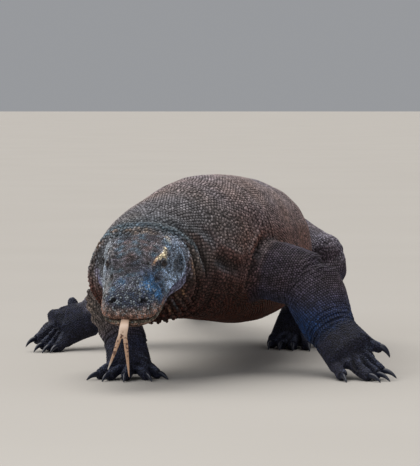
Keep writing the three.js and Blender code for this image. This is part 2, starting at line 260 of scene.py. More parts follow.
# %% [markdown]
# ## Only the outside
#
# Where solids overlap, a remesh can leave closed bubbles inside. Walking from point to point along the edges
# finds each loose part of the mesh, and all but the largest are deleted.

# %% Only the outside
def largest_island(bm):
    """Deletes every loose part but the largest."""
    bm.verts.ensure_lookup_table()
    seen = np.zeros(len(bm.verts), bool)
    islands = []
    for v in bm.verts:
        if seen[v.index]:
            continue
        seen[v.index] = True
        island, stack = [v], [v]
        while stack:
            for edge in stack.pop().link_edges:
                for other in edge.verts:
                    if not seen[other.index]:
                        seen[other.index] = True
                        island.append(other)
                        stack.append(other)
        islands.append(island)
    islands.sort(key=len)
    for island in islands[:-1]:
        bmesh.ops.delete(bm, geom=island, context="VERTS")
    return len(islands)


bm = bmesh.new()
bm.from_mesh(skin.data)
print("islands:", largest_island(bm))
bm.to_mesh(skin.data)
bm.free()

# %% [markdown]
# ## Where each point of the skin is
#
# Folds and colours belong to parts of the body, and a hard border between two parts would show as a step. So
# every point gets a share in the head, the torso, the legs and the feet, by how near their solids are.

# %% Where each point of the skin is
group_trees = {
    "head": tree_of(HEAD)[0],
    "torso": tree_of([*TRUNK, *TAIL])[0],
    "legs": tree_of(LEGS)[0],
    "feet": tree_of(FEET)[0],
}


def shares(points, blend=16 * MM):
    """How much each point belongs to the head, torso, legs and feet. The shares of a point add up to 1."""
    far = {name: nearest(tree, points)[2] for name, tree in group_trees.items()}
    least = np.minimum.reduce(list(far.values()))
    raw = {name: 1 - smooth(0, blend, distance - least) for name, distance in far.items()}
    total = sum(raw.values())
    return {name: value / total for name, value in raw.items()}


share = shares(points_of(skin.data))
print({name: int(value.sum()) for name, value in share.items()})

# %% [markdown]
# ## Smoothing by parts
#
# The solids have flats, and smoothing takes them out: few rounds on the toes and the face, more on the legs,
# and most on the trunk, whose flats are the widest. A vertex group says how much each point takes part.
# Smoothing also draws the skin in by about the height of a scale, which is the room that the coat needs.

# %% Smooth
def weight_group(obj, name, weights, levels=10):
    group = obj.vertex_groups.new(name=name)
    steps = np.round(weights * levels).astype(int)
    for step in range(levels + 1):
        group.add(np.flatnonzero(steps == step).tolist(), step / levels, "REPLACE")


def smoothing(obj, rounds, group=""):
    step = obj.modifiers.new("smooth", "SMOOTH")
    step.factor = 0.5
    step.iterations = rounds
    step.vertex_group = group


rounds_and_weights = {
    "all_but_face": (8, 1 - 0.6 * share["head"]),
    "legs_and_torso": (22, share["legs"] + share["torso"]),
    "torso": (70, share["torso"]),
}
for name, (rounds, weights) in rounds_and_weights.items():
    weight_group(skin, name, weights)
    smoothing(skin, rounds, name)
keep(skin)
skin.vertex_groups.clear()
print("smoothed:", len(skin.data.vertices), "points")

# %% [markdown]
# ## Carving
#
# Every crease and swelling is a height along the skin's normal, worked out from where a point is. A crease is
# a valley along a few joined points, and a swelling is a soft round hill.

# %% Tools for carving
def line_distance(points, path):
    """How far each point is from a path of straight pieces, and how far along the path, 0 to 1."""
    path = np.array(path, float)
    lengths = np.linalg.norm(np.diff(path, axis=0), axis=1)
    starts = np.concatenate([[0], np.cumsum(lengths)])
    best = np.full(len(points), np.inf)
    along = np.zeros(len(points))
    for a, b, length, start in zip(path, path[1:], lengths, starts):
        t = np.clip((points - a) @ (b - a) / length**2, 0, 1)
        far = np.linalg.norm(points - (a + t[:, None] * (b - a)), axis=1)
        nearer = far < best
        best = np.where(nearer, far, best)
        along = np.where(nearer, (start + t * length) / starts[-1], along)
    return best, along


def hill(points, centre, size):
    """1 at a place, falling softly to 0 about two sizes away. The size may differ along x, y and z."""
    return np.exp(-(((points - np.array(centre, float)) / size) ** 2).sum(1))


def ridge(points, path, width, taper=0.25):
    """1 on a path, falling softly to 0 beside it and towards its two ends."""
    far, along = line_distance(points, path)
    ends = smooth(0, taper, along) * (1 - smooth(1 - taper, 1, along)) if taper else 1
    return np.exp(-((far / width) ** 2)) * ends


def mirrored(shape, points, places, *rest):
    """A shape on the left side of the head and its mirror image on the right."""
    flip = np.array([-1, 1, 1])
    return shape(points, places, *rest) + shape(points, np.array(places, float) * flip, *rest)


print("one size away, a hill is", hill(np.array([[1.0, 0, 0]]), (0, 0, 0), 1).round(2), "of its height")

# %% [markdown]
# ## Where the loose skin lies
#
# A dragon's hide is too big for it. It hangs in rolls on the neck, in pleats over the shoulder and in a deep
# fold where the arm leaves the chest. Each has its own place, and a long fold has a route over the hide.

# %% Places of the folds
def place(x, y, z):
    """A place measured in millimetres from the floor under the camera's line of sight, in metres."""
    return (BODY_SHIFT + Vector((x, y, z)) * MM)[:]


def route(*spots):
    return [place(*spot) for spot in spots]


ARM_FOLD = route((104, 168, 268), (99, 159, 253), (83, 129, 222), (72, 124, 179), (68, 141, 148))
NECK_FOLD = route((-26, 26, 272), (-17, 23, 230), (-7, 33, 198), (-19, 40, 160))
HOLLOW = route((0, 40, 228), (30, 62, 214), (62, 98, 196))
GULLET_ROLLS = place(-70, 28, 122)
SLEEVE = place(-222, 90, 118)  # loose skin on the right arm
SHOULDER_PLEATS = place(95, 160, 265)
SLIM_NECK = place(-216, 0, 236)
KNEE_PAD = place(258, 720, 193)

# Rings round the neck, in millimetres: how far behind the snout, how wide, and how high or, below 0, deep.
ROLLS = [
    (225, 5, -8.5),
    (239, 8, 7.0),
    (255, 5, -6.5),
    (269, 8, 4.5),
    (285, 6, -3.0),
    (299, 8, 1.8),
    (314, 7, -1.6),
]
print("the arm's fold runs from", np.round(ARM_FOLD[0], 3), "to", np.round(ARM_FOLD[-1], 3))

# %% [markdown]
# ## Loose skin
#
# Noise bends the folds a little, so that none looks ruled. Rolls and pleats are waves that fade away from the
# middle of their patch.

# %% Relief of the body
def drift(points, scale, seed):
    """Smooth random values between about -1 and 1."""
    shift = Vector((seed * 7.3, seed * 3.1, seed))
    return np.array([noise.noise(Vector(p) / scale + shift) for p in points.tolist()])


def waves(along, length, shift=0):
    """Ripples between -1 and 1, at places along them and of a length that are both in millimetres."""
    return np.cos(along * math.tau / length + shift)


def crease(points, path, width, deep):
    """Heights of a groove with a swelling on each side of it."""
    far, along = line_distance(points / MM, np.array(path) / MM)
    ends = smooth(0, 0.2, along) * (1 - smooth(0.8, 1, along))
    groove = np.exp(-((far / width) ** 2))
    rims = np.exp(-(((far - 2 * width) / width) ** 2))
    return ends * (0.45 * deep * rims - deep * groove)


def body_relief(points, p, share):
    """Heights in millimetres at places in the row's frame (points) and in the head's frame (p)."""
    x, y, z = p.T
    back = y + 5 * drift(points, 0.05, 1)
    around = np.arctan2(z + 2, np.abs(x))
    loose = share["torso"] * (0.4 + 0.6 * (1 - smooth(0.5, 1.3, around)))
    height = loose * sum(rise * np.exp(-(((back - at) / width) ** 2)) for at, width, rise in ROLLS)
    height -= 7 * hill(points, SLIM_NECK, 0.034) * share["torso"]
    coiled = hill(points, GULLET_ROLLS, 0.042) * share["torso"]
    height += coiled * (3 + 6 * waves((points[:, 0] + 0.6 * points[:, 2]) / MM, 15))
    sleeve = hill(points, SLEEVE, 0.06) * share["legs"]
    height += 3.4 * sleeve * waves((points[:, 2] + 0.8 * points[:, 0]) / MM, 15)
    pleated = hill(points, SHOULDER_PLEATS, (0.06, 0.07, 0.055)) * share["torso"]
    bend = 2 * drift(points, 0.05, 14)
    height += 2.0 * pleated * waves((points[:, 1] + 0.5 * points[:, 0]) / MM, 17, bend)
    height += 13 * hill(points, KNEE_PAD, 0.038) * share["legs"]
    height += crease(points, ARM_FOLD, 8, 8) + crease(points, NECK_FOLD, 7, 5) + crease(points, HOLLOW, 12, 6)
    height += 2.2 * share["torso"] * drift(points, 0.075, 2) + 1.1 * share["legs"] * drift(points, 0.03, 3)
    return height


print("the deepest ring round the neck:", min(ROLLS, key=lambda roll: roll[2]))

# %% [markdown]
# ## Wrinkles at the joints
#
# Skin gathers where a leg bends and where the foot meets it. A joint lies halfway between the middles of the
# two solids that meet there, and the wrinkles are waves that run across the line between them.

# %% Joint wrinkles
def joint_wrinkles(points, share):
    """Short creases across the legs, and a little flesh round the hind knees."""
    height = np.zeros(len(points))
    for limb in LIMBS:
        upper, lower, foot = (np.array(middle(n)) for n in (UPPER[limb], LOWER[limb], f"{limb}_foot"))
        knee_fill = 5 if "hind" in limb else 0
        depth = 1.7 if "fore" in limb else 0.7
        for a, b, fill in ((upper, lower, knee_fill), (lower, foot, 0)):
            joint = (a + b) / 2
            along = (points - joint) @ unit(b - a) / MM
            far = np.linalg.norm(points - joint, axis=1) / MM
            near = np.exp(-((along / 26) ** 2)) * (far < 120)
            wavy = along + 3 * drift(points * near[:, None], 0.02, 4)
            height += near * fill + near * depth * waves(wavy, 10.5)
    return height * (1 - share["head"]) * (1 - share["torso"])


print("joints with wrinkles:", 2 * len(LIMBS))

# %% [markdown]
# ## Toes
#
# From above, a toe is a straight line from its claw to the ankle. Its back is a ridge along that line, and
# between two neighbours runs a cleft. Both are looked for from above, because the toes lie on the floor.

# %% Backs and clefts of the toes
LEVEL = (1, 1, 0)  # times a place, this gives the same place without its height
TOE_RISE, CLEFT_DEPTH = 3.5, 10  # millimetres


def toes(points, normals):
    """How much each point lies on the back of a toe and how much in a cleft between two, from 0 to 1."""
    backs, clefts = np.zeros(len(points)), np.zeros(len(points))
    flat = points * LEVEL / MM
    for limb in LIMBS:
        ankle = np.array(middle(f"{limb}_foot"))
        tips = [np.array(middle(f"{limb}_claw_{n}")) for n in range(1, 6)]
        near = (np.linalg.norm(points - ankle, axis=1) < 0.14) * smooth(0.0, 0.5, normals[:, 2])
        for tip in tips:
            path = np.array([tip, tip + 0.75 * (ankle - tip)]) * LEVEL / MM
            backs = np.maximum(backs, near * ridge(flat, path, 6, 0.3))
        for one, other in zip(tips, tips[1:]):
            start = (one + other) / 2
            path = np.array([start, start + 0.85 * (ankle - start)]) * LEVEL / MM
            clefts = np.maximum(clefts, near * ridge(flat, path, 4, 0.45))
    return backs, clefts


print("toes:", 5 * len(LIMBS))

# %% [markdown]
# ## Moving the skin
#
# Each point moves along its normal by the sum of the heights there. This is done while the mesh is still
# dense, so that the folds come out round.

# %% Carve the folds
def move(obj, points):
    obj.data.vertices.foreach_set("co", points.astype(np.float32).ravel())
    obj.data.update()


points, normals = points_of(skin.data), normals_of(skin.data)
height = body_relief(points, in_head(points), share) + joint_wrinkles(points, share)
backs, clefts = toes(points, normals)
height += (TOE_RISE * backs - CLEFT_DEPTH * clefts) * share["feet"]
points += normals * (height * MM)[:, None]
move(skin, points)
print("folds from", round(float(height.min()), 1), "to", round(float(height.max()), 1), "mm")

# %% [markdown]
# ## Thinning
#
# Half a million triangles are too many. The decimate modifier takes out points where the skin is nearly flat
# and keeps them in the folds. The head keeps all of its own, because it is carved next.

# %% Thin the skin
SKIN_TRIANGLES = 108_000
weight_group(skin, "body", (share["head"] < 0.5).astype(float))
thin = skin.modifiers.new("thin", "DECIMATE")
thin.ratio = SKIN_TRIANGLES / (2 * len(skin.data.polygons))
thin.vertex_group = "body"
keep(skin)
skin.vertex_groups.clear()
print("thinned:", len(skin.data.vertices), "points,", len(triangles_of(skin.data)), "triangles")

# %% [markdown]
# ## Finer mesh on the face
#
# The face has the smallest shapes: lids, nostrils and lips. Its faces are divided once more, and those round
# the eyes twice.

# %% Divide the face
FACE_END = 196  # behind the jaw corner, in millimetres from the snout
EYE = (48, 137, 44)  # millimetres, in the head's frame
EYE_PATCH = 17


def divide(bm, wanted):
    """Halves the edges of the faces whose points, in the head's frame, are all wanted."""
    inside = wanted(in_head(np.array([v.co for v in bm.verts])))
    bm.verts.index_update()
    edges = [e for e in bm.edges if inside[e.verts[0].index] and inside[e.verts[1].index]]
    bmesh.ops.subdivide_edges(bm, edges=edges, cuts=1, use_grid_fill=True)
    bmesh.ops.triangulate(bm, faces=[f for f in bm.faces if len(f.verts) > 4])


def by_eye(p):
    left, right = (np.linalg.norm(p - np.array(EYE) * (side, 1, 1), axis=1) for side in (1, -1))
    return np.minimum(left, right) < EYE_PATCH


bm = bmesh.new()
bm.from_mesh(skin.data)
divide(bm, lambda p: p[:, 1] < FACE_END)
divide(bm, by_eye)
bm.to_mesh(skin.data)
bm.free()
skin.data.update()
print("with the face divided:", len(triangles_of(skin.data)), "triangles")

# %% [markdown]
# ## The face
#
# Brows, cheeks, nostrils and ears are ridges and hills as well. Each is written down once, for the left side
# of the head, and mirrored. The lips part along a line that sags towards the corner of the mouth.

# %% Places on the face
BALL = 8.5  # radius of the eyeball
BROW = [(44, 180, 57), (51, 168, 55), (47, 150, 55), (41, 131, 54), (37, 114, 48)]
INSIDE_BROW = [(34, 176, 62), (36, 152, 61), (30, 130, 58), (27, 112, 53)]
CANTHUS = [(38, 112, 47), (38, 85, 39), (34, 55, 35), (29, 36, 34)]
UNDER_EYE = [(59, 120, 32), (63, 138, 26), (62, 156, 31)]
CHEEK_LINE = [(60, 162, 42), (67, 180, 36), (75, 196, 26)]
JOWL_FOLD = [(60, 150, -2), (67, 160, -14), (67, 172, -34)]
NOSTRIL = (28, 22, 28)
EAR = (77, 200, 18)

# How much each rises or, below 0, sinks, where it is and how wide, all in millimetres.
PAIRED_RIDGES = [
    (7.5, BROW, 5.2),
    (-4.0, INSIDE_BROW, 5),
    (2.6, CANTHUS, 6),
    (2.4, UNDER_EYE, 4),
    (2.0, CHEEK_LINE, 5),
    (-3.5, JOWL_FOLD, 3.2),
]
PAIRED_HILLS = [
    (-4.5, (41, 98, 32), (9, 19, 8)),  # hollow in front of the eye
    (3.6, NOSTRIL, 11),
    (-13, NOSTRIL, (5.2, 5.6, 4.6)),
    (6.0, (52, 214, 50), (18, 24, 17)),  # muscle behind the brow
    (-3.5, (24, 210, 61), (13, 18, 14)),  # dip beside the nape
    (4.0, (72, 172, -12), (16, 28, 22)),  # jowl
    (-6.0, EAR, (6, 5, 8)),
    (-10.0, (80, 178, 24), (18, 36, 26)),  # flat cheek
]
SINGLE_HILLS = [
    (1.5, (0, 165, 62), (16, 30, 14)),  # crown
    (-1.8, (0, 116, 54), (22, 10, 20)),  # dip between the eyes
    (-4.0, (-80, 172, 14), (18, 34, 26)),  # the right cheek is flatter than the left
]
print("features of the face:", len(PAIRED_RIDGES) + len(PAIRED_HILLS) + len(SINGLE_HILLS))


# %% Relief of the face
def mouth_height(y):
    """The height of the parting of the lips, along the side of the head."""
    return -4 * np.sin(np.clip(y / 150, 0, 1) * math.pi) - 2 * np.clip(y / 150, 0, 1)


def face_relief(p):
    """Heights on the head in millimetres, at places in the head's frame."""
    y, z = p[:, 1], p[:, 2]
    height = sum(rise * mirrored(ridge, p, path, width) for rise, path, width in PAIRED_RIDGES)
    height += sum(rise * mirrored(hill, p, at, size) for rise, at, size in PAIRED_HILLS)
    height += sum(rise * hill(p, at, size) for rise, at, size in SINGLE_HILLS)
    off = z - mouth_height(y)
    side = (1 - smooth(146, 158, y)) * smooth(-60, -10, z)
    height += side * (1.6 * np.exp(-(((off - 6) / 3.5) ** 2)) + 1.3 * np.exp(-(((off + 6) / 3) ** 2)))
    height -= side * 7.0 * np.exp(-((off / 1.7) ** 2))
    height += 0.7 * drift(p, 11.0, 6)
    return height * (1 - smooth(232, 246, y))


face_heights = face_relief(in_head(points_of(skin.data)))
print("face heights:", np.round([face_heights.min(), face_heights.max()], 1), "mm")

# %% [markdown]
# ## Eyelids
#
# A lid is skin stretched over the eyeball. So the skin near an eye is moved out to just beyond the ball, and
# inside an almond-shaped slit it is moved in behind the ball's front, which then shows.

# %% Eyelids
def eye_frame(side):
    """The middle of an eye, the way it looks, and the ways ahead and up along its slit."""
    look = unit(np.array([side * 0.74, -0.54, 0.40]))
    ahead = unit(np.array([0, -1, -0.1]) - look * np.dot(look, [0, -1, -0.1]))
    above = np.cross(look, ahead) * side
    return np.array(EYE) * (side, 1, 1), look, ahead, above * np.sign(above[2])


def opening(u, v):
    """1 in the middle of the slit between the lids, 0 on its edge and less outside."""
    return 1 - (u / 8.2) ** 2 - (v / 5.6) ** 2


def lids(p):
    """Moves the skin of each eyelid out over the eyeball, and opens a slit like an almond in it."""
    out = p.copy()
    for side in (1, -1):
        eye, look, ahead, above = eye_frame(side)
        away = p - eye
        far = np.linalg.norm(away, axis=1)
        front, u, v = away @ look, away @ ahead, away @ above
        ring = 1 - smooth(9, 16, np.hypot(u, v))
        radius = BALL + 1.6 - 4.8 * smooth(-0.25, 0.4, opening(u, v))
        near = ring * (front > -2) * (far < 21)
        out += (eye + unit(away) * radius[:, None] - p) * near[:, None]
    return out


def lid_rims(p):
    """1 on the edges of the eyelids."""
    out = np.zeros(len(p))
    for side in (1, -1):
        eye, look, ahead, above = eye_frame(side)
        away = p - eye
        gap = opening(away @ ahead, away @ above) + 0.35
        out += np.exp(-((gap / 0.3) ** 2)) * (away @ look > 0) * (np.linalg.norm(away, axis=1) < 18)
    return out

# %% [markdown]
# ## Moving the face
#
# The relief comes first and the lids after it. The skin that meets the floor is lifted by half a millimetre,
# because the scales on the soles reach a little below it.

# %% Carve the face
SOLE_LIFT = 0.5 * MM

points = points_of(skin.data)
local = in_head(points)
share = shares(points)
face_height = face_relief(local) * share["head"]
points += normals_of(skin.data) * (face_height * MM)[:, None]
points = lids(in_head(points)) * MM @ HEAD_AXES.T + HEAD_ORIGIN
points[:, 2] = np.maximum(points[:, 2], SOLE_LIFT)
move(skin, points)
skin.data.shade_smooth()
print("carved by", round(float(face_height.min()), 1), "to", round(float(face_height.max()), 1), "mm")

# %% [markdown]
# ## Scales
#
# The hide is covered with round, domed scales that do not overlap. On the body and the legs they stand in
# staggered rings, as beads on a net. On the head and the feet they are smaller and irregular, like pebbles.
#
# Each ring is found by sending rays out from a line down the middle of the body or leg to the skin. The beads
# are stepped off along the ring from its top, so that they stay in rows along the back.

# %% The skin as a surface to stand on
skin_points = points_of(skin.data)
skin_normals = normals_of(skin.data)
skin_faces = triangles_of(skin.data)
skin_tree = BVHTree.FromPolygons(skin_points.tolist(), skin_faces.tolist())


def standing(points):
    """Moves points on to the skin, and gives its soft normal there."""
    at, face, _ = nearest(skin_tree, points)
    corners = skin_points[skin_faces[face]]
    near = 1 / (np.linalg.norm(corners - at[:, None], axis=2) + 1e-5)
    normal = (skin_normals[skin_faces[face]] * near[..., None]).sum(1)
    return at, unit(normal)


def owners(points):
    return flesh_owner[nearest(flesh_tree, points)[1]]

# %% [markdown]
# ## Lines down the middle
#
# A ring of scales stands square to the middle line of the neck, trunk and tail. From the throat, twelve rays
# are sent out sideways, the mean of the places that they hit is the next point of the line, and so on.

# %% Lines down the middle
def centre_line(tree, start, ahead, step, reach=0.35):
    """Walks down the middle of a tube in steps, and stops where it ends."""
    line = [Vector(start)]
    ahead = Vector(ahead).normalized()
    while True:
        guess = line[-1] + ahead * step
        side = ahead.orthogonal().normalized()
        rays = [Matrix.Rotation(turn * math.tau / 12, 3, ahead) @ side for turn in range(12)]
        hits = [hit for hit in (tree.ray_cast(guess, ray, reach)[0] for ray in rays) if hit]
        if len(hits) < 9:
            return np.array(line)
        centre = sum(hits, Vector()) / len(hits)
        ahead = (ahead * 3 + (centre - line[-1]).normalized()).normalized()
        line.append(centre)


def meeting(node, others):
    """The middle of the end of a node that faces its neighbours."""
    points = np.unique(points_of(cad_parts[node].data).round(5), axis=0)
    far = nearest(tree_of(others)[0], points)[2]
    return points[far < far.min() + 14 * MM].mean(0)


neck_low, neck_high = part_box("neck")
throat = Vector(((neck_low.x + neck_high.x) / 2 - 0.06, neck_low.y + 0.045, 0.205))
spine = centre_line(tree_of([*TRUNK, *TAIL])[0], throat, (0.2, 1, 0.02), 0.012)
print("spine:", len(spine), "points to", spine[-1].round(3))

# %% [markdown]
# ## Rings of beads
#
# Round each ring the distance along the skin is added up, and beads are set a pitch apart, half a pitch
# further in every second ring. A plain grid would wind round the tail instead of following it.

# %% Rings of beads
def ring_beads(line, pitch, top, reach=0.3, rays=110):
    """Places for beads a pitch apart, in staggered rings round a line, with their lie and unwrapped place."""
    lengths = np.concatenate([[0], np.cumsum(np.linalg.norm(np.diff(line, axis=0), axis=1))])
    stations = np.linspace(0, lengths[-1], int(lengths[-1] / (pitch * 0.87)))
    centres = np.stack([np.interp(stations, lengths, line[:, k]) for k in range(3)], 1)
    turns = np.linspace(0, math.tau, rays, endpoint=False)
    found = []
    for i, (centre, lie) in enumerate(zip(centres, unit(np.gradient(centres, axis=0)))):
        side = unit(np.cross(lie, top))
        high = np.cross(side, lie)
        ways = np.cos(turns)[:, None] * high + np.sin(turns)[:, None] * side
        hits = [skin_tree.ray_cast(Vector(centre), Vector(way), reach)[0] for way in ways]
        hits = [hit for hit in hits if hit is not None]
        if len(hits) < rays // 2:
            continue
        loop = np.array([*hits, hits[0]])
        steps = np.linalg.norm(np.diff(loop, axis=0), axis=1)
        arc = np.concatenate([[0], np.cumsum(np.minimum(steps, 3 * np.median(steps)))])
        first = 0.5 * pitch * (i % 2)
        right = np.arange(first, arc[-1] / 2, pitch)
        left = arc[-1] - np.arange(first or pitch, arc[-1] / 2, pitch)
        marks = np.concatenate([right, left])
        at = np.stack([np.interp(marks, arc, loop[:, k]) for k in range(3)], 1)
        u = np.where(marks > arc[-1] / 2, marks - arc[-1], marks)
        found.append(np.column_stack([at, np.tile(lie, (len(at), 1)), u, np.full(len(marks), stations[i])]))
    found = np.concatenate(found)
    return found[:, :3], found[:, 3:6], found[:, 6:]


BODY_PITCH, LEG_PITCH = 6.3 * MM, 5.1 * MM
UP = np.array([0, 0, 1.0])
rings = [(*ring_beads(spine, BODY_PITCH, UP), [*TRUNK, *TAIL], BODY_PITCH)]
for limb in LIMBS:
    upper, lower, foot = UPPER[limb], LOWER[limb], f"{limb}_foot"
    shoulder, elbow, wrist = meeting(upper, TRUNK), meeting(upper, [lower]), meeting(lower, [foot])
    for node, start, end in ((upper, shoulder, elbow), (lower, elbow, wrist)):
        overrun = 0.3 * (end - start)
        ends = np.array([start - overrun, end + overrun])
        rings.append((*ring_beads(ends, LEG_PITCH, UP + (0.3, 0.2, 0), 0.12, 72), [node], LEG_PITCH))
print("beads in rings:", [len(r[0]) for r in rings])

# %% [markdown]
# ## Room for the beads
#
# Rings crowd on the inside of a bend and where a leg meets the body. Each bead is let in only if it keeps its
# distance from those before it. Sorting them into cubes keeps that quick: only the cubes around are asked.

# %% Room for the beads
AROUND = [(i, j, k) for i in (-1, 0, 1) for j in (-1, 0, 1) for k in (-1, 0, 1)]


class Crowd:
    """Places that are taken, sorted into small cubes so that the neighbours of a place are soon found."""

    def __init__(self, cube):
        self.cube, self.cubes = cube, {}

    def admit(self, places, gaps):
        """Takes each place that is no nearer than its gap to one taken before, and gives their numbers."""
        kept = []
        keys = np.floor(places / self.cube).astype(int).tolist()
        for n, (spot, gap, (i, j, k)) in enumerate(zip(places.tolist(), gaps.tolist(), keys)):
            near = (o for di, dj, dk in AROUND for o in self.cubes.get((i + di, j + dj, k + dk), ()))
            if all(math.dist(spot, other) >= gap for other in near):
                self.cubes.setdefault((i, j, k), []).append(spot)
                kept.append(n)
        return kept


crowd = Crowd(BODY_PITCH)
columns = []
for at, lie, unwrapped, nodes, pitch in rings:
    at, normal = standing(at)
    owner = owners(at)
    mine = np.flatnonzero(np.isin(owner, nodes))
    mine = mine[crowd.admit(at[mine], np.full(len(mine), 0.72 * pitch))]
    columns.append((at[mine], normal[mine], lie[mine], unwrapped[mine], owner[mine]))
ringed = [np.concatenate(parts) for parts in zip(*columns)]
print("of them kept:", len(ringed[0]))

# %% [markdown]
# ## Beads between the rings
#
# Gaps are left in folds and between the legs and the body, where rays don't reach. Places are tried at
# random all over the body, and the crowd lets in those that find room. They lie the way their neighbours do.

# %% Beads between the rings
SEED = 11
rng = np.random.default_rng(SEED)


def scattered(wanted, tries):
    """Random places on some faces of the skin."""
    corners = skin_points[skin_faces[wanted]]
    area = np.linalg.norm(np.cross(corners[:, 1] - corners[:, 0], corners[:, 2] - corners[:, 0]), axis=1)
    chosen = corners[rng.choice(len(corners), tries, p=area / area.sum())]
    a, b = rng.random((2, tries, 1))
    fold = a + b > 1
    a, b = np.where(fold, 1 - a, a), np.where(fold, 1 - b, b)
    return chosen[:, 0] + a * (chosen[:, 1] - chosen[:, 0]) + b * (chosen[:, 2] - chosen[:, 0])


def point_tree(points):
    """A tree that finds the nearest of some points."""
    tree = kdtree.KDTree(len(points))
    for i, p in enumerate(points.tolist()):
        tree.insert(p, i)
    tree.balance()
    return tree


face_owner = owners(skin_points[skin_faces].mean(1))
spots = scattered(~np.isin(face_owner, [*HEAD, *FEET]), 220_000)
pitches = np.where(np.isin(owners(spots), LEGS), LEG_PITCH, BODY_PITCH)
spots = spots[crowd.admit(spots, 0.8 * pitches)]
at, normal = standing(spots)
ring_tree = point_tree(ringed[0])
near = np.array([ring_tree.find(p)[1] for p in at.tolist()])
lie = ringed[2][near]
offset = at - ringed[0][near]
across = unit(np.cross(normal, lie))
unwrapped = ringed[3][near] + np.column_stack([(offset * across).sum(1), (offset * lie).sum(1)])
between = (at, normal, lie, unwrapped, ringed[4][near])
print("beads between the rings:", len(at))

# %% [markdown]
# ## Pebbles of the head and feet
#
# Here the scales are small and in no order, so they are scattered only. They are finest on the snout's sides
# and grow towards the neck. The nostrils and ears stay bare.

# %% Pebbles of the head and feet
FOOT_GAP = 3.0 * MM


def head_unwrapped(at):
    """The head opened out like a flower from the tip of the snout."""
    x, y, z = in_head(at).T
    turn, far = np.arctan2(x, z - 8), np.hypot(np.hypot(x, z - 8), y)
    return np.column_stack([far * np.sin(turn), far * np.cos(turn)])


pebbles = []
spots = scattered(np.isin(face_owner, HEAD), 150_000)
p = in_head(spots)
spots = spots[mirrored(hill, p, NOSTRIL, 7) + mirrored(hill, p, EAR, 6) < 0.38]
p = in_head(spots)
muzzle = smooth(90, 60, p[:, 1]) * smooth(10, 20, p[:, 2])
spots = spots[crowd.admit(spots, (2.3 + 1.2 * muzzle + 1.0 * smooth(110, 200, p[:, 1])) * MM)]
at, normal = standing(spots)
lie = HEAD_AXES[:, 1] + rng.normal(0, 0.25, (len(at), 3))
pebbles.append((at, normal, lie, head_unwrapped(at), np.full(len(at), "head")))

for limb in LIMBS:
    node = f"{limb}_foot"
    spots = scattered(face_owner == node, 40_000)
    at, normal = standing(spots[crowd.admit(spots, np.full(len(spots), FOOT_GAP))])
    ahead = unit(np.array(middle(f"{limb}_claw_3") - middle(node)))
    aside = unit(np.cross(ahead, UP))
    flat = np.column_stack([at @ aside + 0.3 * at[:, 2] * np.sign(at @ aside), at @ ahead])
    pebbles.append((at, normal, np.tile(ahead, (len(at), 1)), flat, np.full(len(at), node)))
print("pebbles:", [len(p[0]) for p in pebbles])

# %% [markdown]
# ## All the scales
#
# A scale is as wide as the room it has, which is measured from its four nearest neighbours. The scales are
# shared out to the parts of the body, and the widest parts are halved, so that no piece grows too heavy.

# %% All the scales
HEIGHT_TO_SIZE = 0.42  # how tall a scale is against its radius


def spacing(at):
    """Half the mean distance from each place to its four nearest neighbours."""
    tree = point_tree(at)
    return np.array([sum(found[2] for found in tree.find_n(p, 5)[1:]) / 8 for p in at.tolist()])


at, normal, lie, unwrapped, owner = (np.concatenate(p) for p in zip(ringed, between, *pebbles))
lie = unit(lie - normal * (lie * normal).sum(1, keepdims=True))
size = 1.1 * np.minimum(spacing(at), 0.56 * BODY_PITCH)
tall = HEIGHT_TO_SIZE * size
scales = dict(at=at, normal=normal, lie=lie, unwrapped=unwrapped, size=size, tall=tall)
part = np.where(np.isin(owner, TAIL), "tail", owner)
halved = np.isin(part, [*TRUNK, "tail", "head"])
part = np.where(halved, np.char.add(part, np.where(unwrapped[:, 0] > 0, "_left", "_right")), part)
beads = {name: {key: value[part == name] for key, value in scales.items()} for name in np.unique(part)}
print(len(at), "scales in", len(beads), "pieces")

# %% [markdown]
# ## The colours of the hide
#
# Each region has its own colour, and the regions melt into each other. The colours are kept on the mesh as an
# attribute, one for the skin and the same for the scales that stand on it, so both carry the same markings.

# %% Palette
BACK = (0.235, 0.186, 0.186)
FLANK = (0.145, 0.076, 0.067)
# painted shade under the body
SHADED_BELLY = (0.047, 0.008, 0.002)
# painted shadow on the chest, under the neck
CHEST_SHADOW = (0.03, 0.014, 0.014)
WITHERS = (0.165, 0.152, 0.158)
NAPE = (0.075, 0.108, 0.132)
NECK_SIDE = (0.13, 0.12, 0.115)
RUST = (0.36, 0.19, 0.09)
SAND = (0.42, 0.3, 0.21)

ARM = (0.05, 0.038, 0.054)
SLEEVE_TONE = (0.1, 0.078, 0.066)
THIGH = (0.17, 0.155, 0.19)
SHANK = (0.005, 0.026, 0.088)
FOOT = (0.016, 0.018, 0.038)
# painted highlight on the backs of the toes, and painted shade in the clefts between them
TOE_HIGHLIGHT = (0.05, 0.06, 0.1)
CLEFT_SHADE = (0.005, 0.005, 0.01)

CROWN = (0.12, 0.11, 0.125)
TEAL = (0.05, 0.12, 0.17)
MAUVE = (0.24, 0.15, 0.14)
# dark flecks of the skin's own, and painted shade between the eyes and beside the nape
DARK_FLECK_AND_SHADE = (0.045, 0.04, 0.055)
# pale cheeks and sides of the head: partly their own colour, partly painted light
CHEEK_TONE_AND_LIGHT = (0.42, 0.55, 0.74)
SIDE_TONE_AND_LIGHT = (0.3, 0.3, 0.29)
BLUE = (0.045, 0.135, 0.28)
MUZZLE = (0.3, 0.22, 0.19)
SNOUT_DARK = (0.014, 0.026, 0.055)
LIP = (0.22, 0.12, 0.09)
PALE_LIP = (0.15, 0.13, 0.1)
JOWL = (0.18, 0.18, 0.28)
THROAT = (0.1, 0.055, 0.04)
GULLET = (0.22, 0.045, 0.02)
# painted shade round the eyes, in their sockets
EYE_SOCKET_SHADE = (0.045, 0.055, 0.085)
LID_RIM = (0.2, 0.19, 0.18)
ORANGE = (0.5, 0.26, 0.11)
CREAM = (0.82, 0.7, 0.48)
